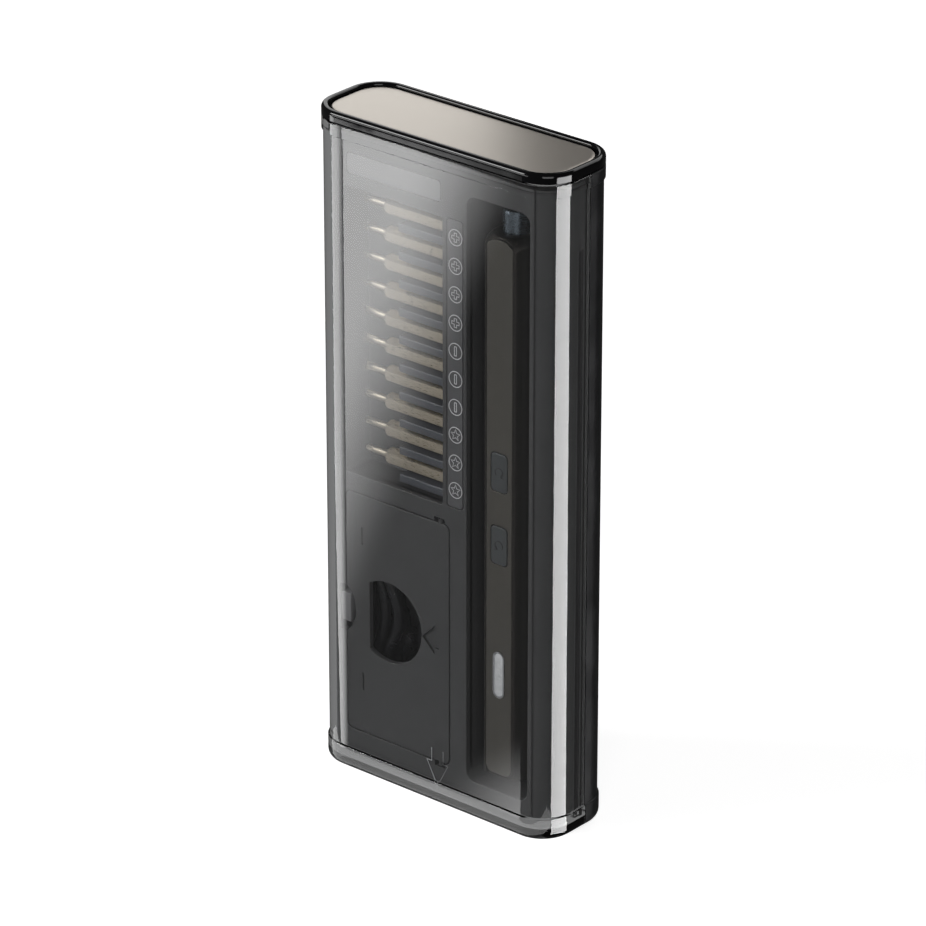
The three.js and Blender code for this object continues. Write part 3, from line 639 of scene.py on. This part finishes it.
def rim_and_plate():
    top, margin = CASE["height"], RIM["margin"]
    bottom, outer, lip = RIM["bottom"], RIM["round"], RIM["lip"]
    profile = [(0.15, bottom), (0.0, bottom + 0.15), (0.0, bottom + 0.5), (0.0, top - 1.3)]
    profile += [(outer * (1 - math.cos(a)), top - outer + outer * math.sin(a)) for a in quarter(7)]
    profile += [(1.2 + lip * math.sin(a), top - lip * (1 - math.cos(a))) for a in quarter(5)]
    profile += [(margin - 0.1, RIM["floor"] + 0.2), (margin + 0.1, RIM["floor"])]
    rings = [[(x, y, z) for x, y in case_loop(inset)] for inset, z in profile]
    piece("rim", skin(rings), LOOKS["gloss"], "case", ["top_rim"])
    face = PLATE["top"]
    steps = [(0.0, PLATE["bottom"]), (0.0, face - 0.25), (0.07, face - 0.07), (0.25, face), (0.8, face)]
    rings = [[(x, y, z) for x, y in case_loop(PLATE["inset"] + inset)] for inset, z in steps]
    piece("plate", skin(rings), LOOKS["champagne"], "case", ["top_plate"])


clear_cover()
rear_shell()
rim_and_plate()

# ------------------------------------------------------------------ tray


def cup(box, front, fillet, scoop=0.0, wall=1.2):
    """A pocket with thick walls, open to the front, with a round floor edge; scoop slopes its lower end."""
    deep = box["floor"]
    levels = [(0.0, front), (0.0, deep - fillet)]
    levels += [(fillet * (1 - math.cos(a)), deep - fillet * (1 - math.sin(a))) for a in quarter(5)[1:]]
    rings = []
    for inset, y in levels[::-1]:
        low = box["z0"] + inset + scoop * (inset / fillet)
        radius = max(box["corner"] - inset * 0.5, 0.4)
        outline = rounded_rect(box["x0"] + inset, box["x1"] - inset, low, box["z1"] - inset, radius, 6)
        rings.append([(x, y, z) for x, z in outline])
    for y in (front, box["floor"] + wall):
        rings.append([(x, y, z) for x, z in grown(box, wall, box["corner"] + wall, 6)])
    return skin(rings)


def corner_wall(side):
    """The tray's round vertical corner and side, from its flat face to the back."""
    x0, half, back, wall = TRAY["flat"] - 0.4, TRAY["half"], TRAY["back"], TRAY["wall"]
    front, bend = FACE_Y + 0.35, TRAY["bend"]
    rx, ry = half - x0, bend - front
    outer = [(x0 + rx * math.sin(a), bend - ry * math.cos(a)) for a in quarter(14)]
    loop = outer + [(half, back), (half - wall, back), (half - wall, bend), (x0, front + wall)]
    levels = [(1.2, TRAY["z0"]), (0.5, TRAY["z0"] + 0.25), (0.12, TRAY["z0"] + 0.8), (0, TRAY["z0"] + 1.6)]
    levels += [(0, TRAY["z1"] - 0.6), (0.2, TRAY["z1"] - 0.1), (0.4, TRAY["z1"])]
    middle = Vector((x0, back))
    rings = []
    for inset, z in levels:
        ring = []
        for x, y in loop:
            away = Vector((x, y)) - middle
            pulled = middle + away * (1 - inset / 12)
            ring.append((side * pulled.x, pulled.y, z))
        rings.append(ring)
    return skin(rings)


def tray():
    flat = TRAY["flat"]
    outline = rounded_rect(-flat, flat, TRAY["z0"] + 1.5, TRAY["z1"], 0.6, 4)
    holes = [grown(WELL, 0, WELL["corner"]), grown(TROUGH, 0, TROUGH["corner"], 10)]
    holes += [grown(LID, 0.3, LID["corner"] + 0.3), grown(STRIP, 0.2, 1.0), grown(PAD, 0.15, 1.0)]
    panel = prism(outline, FACE_Y, FACE_Y + TRAY["face"] + 1.0, 0.22, holes, 3)
    notch = LATCH["notch"] / 2
    y0, y1, left, right = FACE_Y - 1, FACE_Y + 4, HINGE["x"] - 1.7, HINGE["x"] + 1.7
    panel = carved(
        panel,
        block(LATCH["x0"] - 0.3, LID["x0"] + 0.5, y0, y1, LATCH["z"] - notch, LATCH["z"] + notch, 0.4),
        block(left, right, y0, y1, LID["z1"] - 1, LID["z1"] + 1.4, 0.2),
        block(left, right, y0, y1, LID["z0"] - 1.4, LID["z0"] + 1, 0.2),
    )
    behind = FACE_Y + TRAY["face"]
    around = rounded_rect(BAY["x0"] - 0.6, BAY["x1"] + 2.6, BAY["z0"] - 2.6, BAY["z1"] + 2.6, 0.5)
    shelf = prism(around, behind + 0.45, behind + 1.6, 0, [grown(BAY, 0, 1)])
    strip_floor = prism(grown(STRIP, 1, 1), FACE_Y + STRIP["thick"] + 0.15, behind + 0.8)
    pad_floor = prism(grown(PAD, 1, 1), FACE_Y + PAD["thick"] + 0.15, behind + 0.8)
    z0, back = TRAY["z0"], TRAY["back"]
    loop = [(FACE_Y + 1.9 * (1 - math.cos(a)), z0 + 1.9 * (1 - math.sin(a))) for a in quarter(6)]
    loop += [(back, z0), (back, z0 + 2.4), (FACE_Y + 2.6, z0 + 2.4)]
    bottom = skin([[(x, y, z) for y, z in loop] for x in (-flat, flat)])
    top = block(-flat, flat, FACE_Y + 0.6, TRAY["back"], TRAY["z1"] - TRAY["wall"], TRAY["z1"], 0.3)
    mesh = joined(
        panel,
        shelf,
        strip_floor,
        pad_floor,
        bottom,
        top,
        cup(WELL, behind, 0.5),
        cup(TROUGH, behind, 2.2, 8.0),
        cup(BAY, behind + 1.0, 1.0),
        corner_wall(1),
        corner_wall(-1),
    )
    piece("tray_moulding", mesh, LOOKS["tray"], "case", ["inner_tray"])


def rack():
    x0, x1, bottom, top = RACK["x0"], RACK["x1"], WELL["z0"] + 0.3, WELL["z1"] - 0.3
    parts = [block(x0, x1, RACK["floor"], RACK["back"], bottom, top, 0.2)]
    for i in range(len(BITS) + 1):
        z = BIT["top"] + BIT["pitch"] * (0.5 - i)
        low, high = max(z - RACK["rib"] / 2, bottom), min(z + RACK["rib"] / 2, top)
        parts.append(block(x0, x1, RACK["front"], RACK["floor"] + 0.4, low, high, 0.3))
    piece("rack_comb", joined(*parts), LOOKS["rack"], "case", ["bit_rack"])


def strip_and_pad():
    strip = prism(grown(STRIP, 0, 0.8), FACE_Y, FACE_Y + STRIP["thick"], 0.12)
    piece("symbol_strip", strip, LOOKS["strip"], "case", ["icon_strip"])
    pad = prism(grown(PAD, 0, 0.9), FACE_Y + 0.05, FACE_Y + PAD["thick"], 0.12)
    piece("name_pad", pad, LOOKS["pad"], "case", ["label_pad"])
    loops = []
    x, y = (STRIP["x0"] + STRIP["x1"]) / 2 + 0.25, FACE_Y - 0.02
    for i, kind in enumerate(BITS):
        z = BIT["top"] - BIT["pitch"] * i
        loops.append(arc(x, z, 1.95, 0, 350, 35))
        if kind == "cross":
            wide, thin = 1.1, 0.36
            corners = [(wide, thin), (thin, thin), (thin, wide)]
            loops.append([(x + p * c - q * s, z + p * s + q * c)
                          for c, s in ((1, 0), (0, 1), (-1, 0), (0, -1)) for p, q in corners])
        elif kind == "slot":
            loops.append(rounded_rect(x - 0.3, x + 0.3, z - 1.15, z + 1.15, 0.1, 2))
        else:
            radii = [1.45 if k % 2 == 0 else 0.62 for k in range(10)]
            loops.append([(x + r * math.sin(math.pi * k / 5), z + r * math.cos(math.pi * k / 5))
                          for k, r in enumerate(radii)])
    mesh = wires([[(u, y, w) for u, w in loop] for loop in loops], 0.11)
    piece("strip_symbols", mesh, LOOKS["ink"], "case")


def lid():
    centre = LID_HOLE["flat"] + LID_HOLE["radius"] - LID_HOLE["cut"]
    angle = math.degrees(math.acos((LID_HOLE["flat"] - centre) / LID_HOLE["radius"]))
    hole = arc(centre, LID_HOLE["z"], LID_HOLE["radius"], -angle, angle, 48)
    panel = prism(grown(LID, 0, LID["corner"]), FACE_Y, FACE_Y + LID["thick"], 0.18, [hole])
    room = arc(LATCH["x1"] + 1.8 - LATCH["recess"], LATCH["z"], LATCH["recess"], 0, 354, 59)
    tools = [prism(room, FACE_Y - 1, FACE_Y + 3)]
    tools.append(prism(block_arrow(-3.2, 42.8, 5.2, 7.6, 4.2, 180), FACE_Y - 1, FACE_Y + 0.6))
    for z in (24.5, 63.2):
        tools.append(prism(rounded_rect(-22.2, -21.7, z - 2.3, z + 2.3, 0.2, 3), FACE_Y - 1, FACE_Y + 0.25))
    panel = carved(panel, *tools)
    pins = turned([(HINGE["pin"], LID["z0"] - HINGE["reach"]), (HINGE["pin"], LID["z1"] + HINGE["reach"])],
                  HINGE["x"], HINGE["y"], 20)
    piece("bay_lid", joined(panel, pins), LOOKS["tray"], "case", ["cable_lid"])


def latch():
    low, high = LATCH["z"] - LATCH["height"] / 2, LATCH["z"] + LATCH["height"] / 2
    behind = FACE_Y + LID["thick"] + 0.3
    back, x0, x1, middle = behind + 0.7, LATCH["x0"], LATCH["x1"], LATCH["z"]
    parts = [block(x0, x1, FACE_Y + 0.2, back, low, high, 0.25)]
    parts.append(block(x0 - 0.7, x0 + 0.5, behind, back, low + 0.6, high - 0.6, 0.15))
    parts.append(block(x1 - 0.5, x1 + 3.4, behind, back, middle - 1.6, middle + 1.6, 0.15))
    piece("latch_tab", joined(*parts), LOOKS["pad"], "latch", ["lid_latch"])


tray()
rack()
strip_and_pad()
lid()
latch()

# ------------------------------------------------------------------ bits


def hexagon(apothem, rounding):
    """A polar radius for a hexagon with a flat to the front, its corners rounded off."""
    def radius(angle):
        turn = (angle + math.pi / 2 + math.pi / 6) % (math.pi / 3) - math.pi / 6
        return min(apothem / math.cos(turn), rounding)
    return radius


def circle(r):
    return lambda angle: r


def flat_blade(half_width, half_thick):
    def radius(angle):
        u, v = abs(math.cos(angle)), abs(math.sin(angle))
        return min(half_width / max(v, 1e-6), half_thick / max(u, 1e-6))
    return radius


def lobed(r, count, depth):
    return lambda angle: r * (1 - depth * (0.5 - 0.5 * math.cos(count * angle)) ** 0.7)


def bit_mesh(kind, z, turn):
    """A bit with its tip to -X: hexagonal shank, collar, round neck and its drive."""
    apothem = BIT["flats"] / 2
    corner = apothem / math.cos(math.pi / 6) * 0.985
    s, butt, tip = BIT["shoulder"], BIT["butt"], BIT["shoulder"] - BIT["tip"]
    stations = [(butt, hexagon(apothem - 0.35, corner - 0.5))]
    stations += [(butt - 0.25, hexagon(apothem - 0.04, corner - 0.2))]
    stations += [(butt - 0.6, hexagon(apothem, corner)), (s + 0.9, hexagon(apothem, corner))]
    stations += [(s + 0.35, hexagon(apothem, corner - 0.28)), (s, hexagon(apothem - 0.3, corner - 0.62))]
    stations += [(s - 0.06, circle(1.15)), (s - 0.4, circle(1.0))]
    stations += [(s - 0.9, circle(0.92)), (s - 1.3, circle(0.92))]
    if kind == "cross":
        stations += [(tip + 2.6, circle(0.92)), (tip + 2.2, lobed(0.9, 4, 0.2))]
        stations += [(tip + 1.4, lobed(0.72, 4, 0.42)), (tip + 0.2, lobed(0.22, 4, 0.45))]
        stations += [(tip, lobed(0.1, 4, 0.3))]
    elif kind == "slot":
        stations += [(tip + 3.4, circle(0.92)), (tip + 1.0, flat_blade(0.95, 0.3))]
        stations += [(tip, flat_blade(0.95, 0.2))]
    else:
        stations += [(tip + 2.4, circle(0.92)), (tip + 1.9, lobed(0.9, 5, 0.3))]
        stations += [(tip + 0.2, lobed(0.88, 5, 0.3)), (tip, lobed(0.7, 5, 0.3))]
    count = 60
    rings = []
    for x, radius in stations:
        ring = []
        for i in range(count):
            a = 2 * math.pi * i / count
            r = radius(a - turn if x < s - 1.2 else a)
            ring.append((x, BIT["y"] + r * math.sin(a), z + r * math.cos(a)))
        rings.append(ring)
    return skin(rings, 0.0005)


def make_bits():
    counts = {}
    for i, kind in enumerate(BITS):
        counts[kind] = counts.get(kind, 0) + 1
        node = f"bit_{kind}_{counts[kind]}"
        mesh = bit_mesh(kind, BIT["top"] - BIT["pitch"] * i, 0.35 * i)
        piece(node + "_steel", mesh, LOOKS["bit"], node, [node], 25)


make_bits()

# ------------------------------------------------------------------ pen screwdriver


def pen_outline():
    """The six-sided body's outline about the pen's axis, with a groove for the faceplate, finely divided."""
    a, f, s = PEN["apothem"], PEN["face"], PEN["side"]
    groove, deep = FACEPLATE["half"] + 0.06, a - FACEPLATE["thick"] - 0.05
    corners = [(groove, -a), (f, -a), (s, 0), (f, a), (-f, a), (-s, 0), (-f, -a), (-groove, -a)]
    corners += [(-groove, -deep), (groove, -deep)]
    sharp = {0, 7, 8, 9}
    points = []
    for i, corner in enumerate(corners):
        here, before, after = Vector(corner), Vector(corners[i - 1]), Vector(corners[(i + 1) % len(corners)])
        if i in sharp:
            points.append(here)
            continue
        cut = min(PEN["corner"], (before - here).length * 0.6, (after - here).length * 0.6)
        p, q = here + (before - here).normalized() * cut, here + (after - here).normalized() * cut
        for k in range(5):
            t = k / 4
            points.append(p * (1 - t) ** 2 + here * 2 * t * (1 - t) + q * t * t)
    divided = []
    for p, q in zip(points, points[1:] + points[:1]):
        parts = max(1, round((q - p).length / 0.4))
        divided += [p.lerp(q, k / parts) for k in range(parts)]
    return divided


def envelope(z):
    """The turned form's radius that rounds both ends of the body."""
    if z < PEN_Z["tail"] + 1.6:
        drop = (PEN_Z["tail"] + 1.6 - z) / 1.6
        return 8.2 - 2.0 * (1 - math.sqrt(max(0.0, 1 - drop * drop)))
    start, end = 143.6, PEN_Z["neck"]
    if z > start:
        rise = (z - start) / (end - start)
        return 3.6 + 4.6 * math.sqrt(max(0.0, 1 - rise**2.1)) ** 0.9
    return 8.2


def pen_body():
    x0, y0 = PEN["x"], PEN["y"]
    outline = pen_outline()
    levels = [PEN_Z["tail"] + 0.2 * i for i in range(9)] + [PEN_Z["tail"] + 2.2]
    levels += [143.2] + [143.4 + 0.2 * i for i in range(40)] + [PEN_Z["neck"]]
    rings = []
    for z in levels:
        limit = envelope(z)
        ring = []
        for p in outline:
            q = p * min(1.0, limit / p.length)
            ring.append((x0 + q.x, y0 + q.y, z))
        rings.append(ring)
    body = skin(rings, 0.0005)
    front = y0 - PEN["apothem"]
    tools = [prism(button_loop(z, BUTTON["gap"]), front - 1, y0 - 2) for z in BUTTON["z"].values()]
    tools.append(prism(window_loop(-0.1, 8), front - 1, y0 - 2))
    bore = [(4.9, 12.0), (4.9, 141.0), (3.7, 141.0), (3.7, 150.4), (3.3, 150.4), (3.3, 153.0)]
    tools.append(turned(bore, x0, y0, 48))
    piece("pen_barrel", carved(body, *tools), LOOKS["pen"], "case", ["pen_housing"], 22)


def window_loop(shrink, steps=12):
    w, h = WINDOW["width"] / 2 - shrink, WINDOW["height"] / 2 - shrink
    return rounded_rect(PEN["x"] - w, PEN["x"] + w, WINDOW["z"] - h, WINDOW["z"] + h, w - 0.01, steps)


def button_loop(z, gap):
    w, h = BUTTON["width"] / 2 + gap, BUTTON["height"] / 2 + gap
    return rounded_rect(PEN["x"] - w, PEN["x"] + w, z - h, z + h, 1 + gap, 8)


def faceplate():
    x0, front, half = PEN["x"], PEN["y"] - PEN["apothem"], FACEPLATE["half"]
    lower = arc(x0 - half + 1.9, FACEPLATE["z0"] + 1.9, 1.9, 180, 270, 8)
    lower += arc(x0 + half - 1.9, FACEPLATE["z0"] + 1.9, 1.9, 270, 360, 8)
    top = []
    for i in range(25):
        x = half - 2 * half * i / 24
        z = PEN_Z["neck"]
        while envelope(z) < math.hypot(x, PEN["apothem"]) + 0.08:
            z -= 0.05
        top.append((x0 + x, z))
    holes = [button_loop(z, BUTTON["gap"]) for z in BUTTON["z"].values()] + [window_loop(-0.1)]
    mesh = prism(lower + top, front - 0.02, front + FACEPLATE["thick"], 0.1, holes)
    piece("pen_strip", mesh, LOOKS["gunmetal"], "case", ["pen_faceplate"])


def turn_arrow(z, way):
    """A curved arrow with an open head, for the direction the chuck turns."""
    x0, y = PEN["x"], PEN["y"] - PEN["apothem"] - 0.1
    sweep = arc(0, 0, 1.15, 215, -60, 22)
    path = [(x0 + way * u, y, z + v) for u, v in sweep]
    (ex, ez), a = sweep[-1], math.radians(-60)
    heading = Vector((math.sin(a), -math.cos(a)))
    tip = Vector((ex, ez)) + heading * 0.15
    sides = [tip - Matrix.Rotation(math.radians(t), 2) @ heading * 0.9 for t in (38, -38)]
    head = [(x0 + way * p.x, y, z + p.y) for p in (sides[0], tip, sides[1])]
    return wires([path, head], 0.09, closed=False)


def buttons():
    front = PEN["y"] - PEN["apothem"] - 0.1
    for name, z in BUTTON["z"].items():
        cap = prism(button_loop(z, 0.0), front, front + BUTTON["thick"], 0.22, steps=4)
        piece("cap_" + name, cap, LOOKS["button"], "button_" + name, ["button_" + name])
        arrow = turn_arrow(z, 1 if name == "forward" else -1)
        piece("arrow_" + name, arrow, LOOKS["mark"], "button_" + name)


def indicator():
    front = PEN["y"] - PEN["apothem"]
    ring = prism(window_loop(0), front - 0.18, front + 0.9, 0.14, [window_loop(WINDOW["ring"])], 4)
    piece("window_ring", ring, LOOKS["chrome"], "case", ["indicator_ring"])
    pane = prism(window_loop(WINDOW["ring"] + 0.05), front - 0.08, front + 0.9, 0.2, steps=4)
    piece("window_lens", pane, LOOKS["lens"], "case", ["indicator_lens"])


def chuck():
    x0, y0, nose, r = PEN["x"], PEN["y"], PEN_Z["nose"], CHUCK["radius"]
    outer = [(r, CHUCK["z0"]), (r, PEN_Z["neck"] + 0.5), (r, nose - 1.5), (r - 0.06, nose - 1.0)]
    outer += [(r - 0.3, nose - 0.45), (r - 0.7, nose - 0.1), (r - 0.95, nose)]
    bore = hexagon(CHUCK["flats"] / 2, 2.3)
    levels = [(circle(radius), z) for radius, z in outer]
    levels += [(hexagon(CHUCK["flats"] / 2 + 0.12, 2.45), nose), (bore, nose - 0.2), (bore, CHUCK["socket"])]
    count = 72
    angles = [2 * math.pi * i / count for i in range(count)]
    rings = []
    for radius, z in levels:
        rings.append([(x0 + radius(a) * math.cos(a), y0 + radius(a) * math.sin(a), z) for a in angles])
    shank = turned([(1.6, CHUCK["z0"] - 1), (1.6, CHUCK["socket"] - 0.4)], x0, y0, 32)
    body = carved(skin(rings, 0.0005), shank)
    piece("nose_chuck", body, LOOKS["chuck"], "chuck", ["chuck"], 25)


pen_body()
faceplate()
buttons()
indicator()
chuck()

# ------------------------------------------------------------------ CAD pieces that stay


def dress_cad_nodes():
    """Materials for the CAD nodes that stay, with their edges rounded a little."""
    looks = dict(
        plug_large_shell="plug", plug_small_shell="plug", switch_forward="can", switch_reverse="can",
        circuit_board="board", battery_cell="wrap", motor="can", gearbox="can", front_bushing="bronze",
        output_shaft="chuck", chuck_magnet="can", charging_socket="can", tail_cap="pen",
    )
    for node, look in looks.items():
        made = frame["nodes"][node]
        made.data.materials.clear()
        made.data.materials.append(LOOKS[look])
        edges = made.modifiers.new("edges", "BEVEL")
        edges.width = 0.0001
        edges.segments = 2
        edges.limit_method = "ANGLE"
        edges.angle_limit = math.radians(40)


dress_cad_nodes()

# ------------------------------------------------------------------ stage and light

FLOOR = dict(half=12.0, z=-0.0002, grey=0.8, glow=0.8, dim=0.2)
WORLD = dict(seen=1.0, dim=0.05)
EVEN = (-2000, -1999)
SOFTBOXES = [
    ("key", (-590, -620, 540), (0, 0, 90), (420, 300), 5),
    ("fill", (520, -520, 260), (0, 0, 80), (400, 500), 1.8),
    ("low", (-420, -700, 90), (0, 0, 80), (500, 160), 1.3),
    ("back", (0, 700, 700), (0, 0, 100), (900, 300), 1.5),
    ("plate_light", (-118, 94, 226), (-30, 0, 169), (80, 80), 0.03, False),
]


def floor():
    """White for the camera and dim for other rays, with no part in reflections or in diffuse light."""
    mesh = bpy.data.meshes.new("floor")
    half, grey = FLOOR["half"], FLOOR["grey"]
    corners = [(-half, -half, 0), (half, -half, 0), (half, half, 0), (-half, half, 0)]
    mesh.from_pydata(corners, [], [(0, 1, 2, 3)])
    n = Nodes("floor_white")
    n.set(Roughness=1.0, Base_Color=(grey, grey, grey, 1), Specular_IOR_Level=0.0)
    n.set(Emission_Color=(1, 1, 1, 1), Emission_Strength=FLOOR["glow"])
    dim = n.add("ShaderNodeEmission", {"Strength": FLOOR["dim"]})
    mix = n.add("ShaderNodeMixShader")
    n.link(n.add("ShaderNodeLightPath").outputs["Is Camera Ray"], mix.inputs[0])
    n.link(dim.outputs["Emission"], mix.inputs[1])
    n.link(n.shader.outputs["BSDF"], mix.inputs[2])
    n.link(mix.outputs["Shader"], n.output.inputs["Surface"])
    mesh.materials.append(n.material)
    made = linked("floor", mesh)
    made.location.z = FLOOR["z"]
    made.visible_glossy = False
    made.visible_diffuse = False


def place_object(name, data, origin, axes):
    """An object at an origin in mm whose X, Y and Z axes are given."""
    made = linked(name, data)
    made.matrix_world = Matrix.Translation(origin * MM) @ Matrix(axes).transposed().to_4x4()
    return made


def aimed(place, target):
    """Axes for something at a place that looks along its -Z at a target."""
    back = (Vector(place) - Vector(target)).normalized()
    across = Vector((0, 0, 1)).cross(back).normalized()
    return across, back.cross(across), back


def softbox(name, place, target, size, power, diffuse=True):
    """A soft area light at a place, turned to a target, both in mm. Clear plastic doesn't show it."""
    data = bpy.data.lights.new(name, "AREA")
    data.shape = "RECTANGLE"
    data.size, data.size_y = size[0] * MM, size[1] * MM
    data.energy = power
    made = place_object(name, data, Vector(place), aimed(place, target))
    made.visible_camera = False
    made.visible_transmission = False
    made.visible_diffuse = diffuse


def glow_material(name, strength, start, end, radial):
    """Light that rises from nothing to full between two distances, along X or out from the centre."""
    n = Nodes(name)
    glow = n.add("ShaderNodeEmission")
    if radial:
        distance = n.add("ShaderNodeVectorMath", operation="LENGTH")
        n.link(n.place, distance.inputs[0])
        where = distance.outputs["Value"]
    else:
        axes = n.add("ShaderNodeSeparateXYZ")
        n.link(n.place, axes.inputs["Vector"])
        where = axes.outputs["X"]
    values = {"From Min": start * MM, "From Max": end * MM, "To Min": 0.0, "To Max": strength}
    level = n.add("ShaderNodeMapRange", values, interpolation_type="SMOOTHSTEP")
    n.link(where, level.inputs["Value"])
    n.link(level.outputs["Result"], glow.inputs["Strength"])
    n.link(glow.outputs["Emission"], n.output.inputs["Surface"])
    return n.material


def glow_card(name, corners, origin, axes, material):
    """A card that only shows in reflections."""
    mesh = bpy.data.meshes.new(name)
    frame_of_card = Matrix(axes)
    mesh.from_pydata([frame_of_card @ (c - origin) * MM for c in corners], [], [(0, 1, 2, 3)])
    mesh.materials.append(material)
    made = place_object(name, mesh, origin, axes)
    made.visible_camera = False
    made.visible_diffuse = False
    made.visible_transmission = False
    made.visible_shadow = False


def mirror_card(name, box, line, fade, strength, away=1000.0, radial=False):
    """A card that the cover's flat front mirrors for the photograph's camera, and only for that one.
    box (x0, x1, z0, z1) and line (two x, z points) are on the front, where they show; the light rises
    across the line, or with radial out from its middle, over the fade distances."""
    eye = bpy.context.scene.camera.location / MM
    eye = Vector((eye.x, 2 * FRONT_Y - eye.y, eye.z))
    middle = Vector(((line[0][0] + line[1][0]) / 2, FRONT_Y, (line[0][1] + line[1][1]) / 2))
    ahead = (middle - eye).normalized()
    near = (middle - eye).length
    scale = (near + away) / near

    def thrown(x, z):
        ray = Vector((x, FRONT_Y, z)) - eye
        return eye + ray * ((near + away) / ray.dot(ahead))

    origin = eye + ahead * (near + away)
    along = (thrown(*line[1]) - thrown(*line[0])).normalized()
    axes = (along.cross(-ahead).normalized(), along, -ahead)
    x0, x1, z0, z1 = box
    corners = [thrown(x0, z0), thrown(x1, z0), thrown(x1, z1), thrown(x0, z1)]
    material = glow_material(name, strength, fade[0] * scale, fade[1] * scale, radial)
    glow_card(name, corners, origin, axes, material)


def side_card(name, place, size, strength, target):
    """A plain glowing card at a place, turned to a target, which only shows in reflections."""
    axes = aimed(place, target)
    origin = Vector(place)
    across, up = axes[0] * size[0] / 2, axes[1] * size[1] / 2
    corners = [origin - across - up, origin + across - up, origin + across + up, origin - across + up]
    glow_card(name, corners, origin, axes, glow_material(name, strength, *EVEN, False))


def floor_glow(name, x0, x1, y0, y1, strength):
    """A strip of bright floor beside the foot, which only shows in reflections."""
    corners = [Vector((x, y, 0.02)) for x, y in ((x0, y0), (x1, y0), (x1, y1), (x0, y1))]
    axes = (Vector((1, 0, 0)), Vector((0, 1, 0)), Vector((0, 0, 1)))
    glow_card(name, corners, Vector((0, 0, 0.02)), axes, glow_material(name, strength, *EVEN, False))


def world():
    """White behind everything that the camera sees, and dim for all other rays."""
    made = bpy.data.worlds.new("studio")
    bpy.context.scene.world = made
    made.use_nodes = True
    tree = made.node_tree
    path = tree.nodes.new("ShaderNodeLightPath")
    level = tree.nodes.new("ShaderNodeMapRange")
    level.inputs["To Min"].default_value = WORLD["dim"]
    level.inputs["To Max"].default_value = WORLD["seen"]
    tree.links.new(path.outputs["Is Camera Ray"], level.inputs["Value"])
    tree.nodes["Background"].inputs["Color"].default_value = (1, 1, 1, 1)
    tree.links.new(level.outputs["Result"], tree.nodes["Background"].inputs["Strength"])


world()
floor()
for lamp in SOFTBOXES:
    softbox(*lamp)
mirror_card("front_wash", (-260, 45, 0, 167.0), ((-26, 78), (11.5, 164.5)), (-15, 15), 7.2)
mirror_card("edge_wash", (-260, -27, 0, 167.0), ((-28, 0), (-28, 100)), (-1, 1), 7.2, away=900.0)
mirror_card("foot_wash", (5, 60, -30, 50), ((35, -2), (35, 0)), (28, 2), 4.5, away=800.0, radial=True)
side_card("corner_light", (800, 60, -270), (720, 700), 12, (30, -5, 85))
floor_glow("front_glow", -48, 48, -20, -12.8, 2.0)
bpy.context.scene.view_settings.view_transform = "Standard"
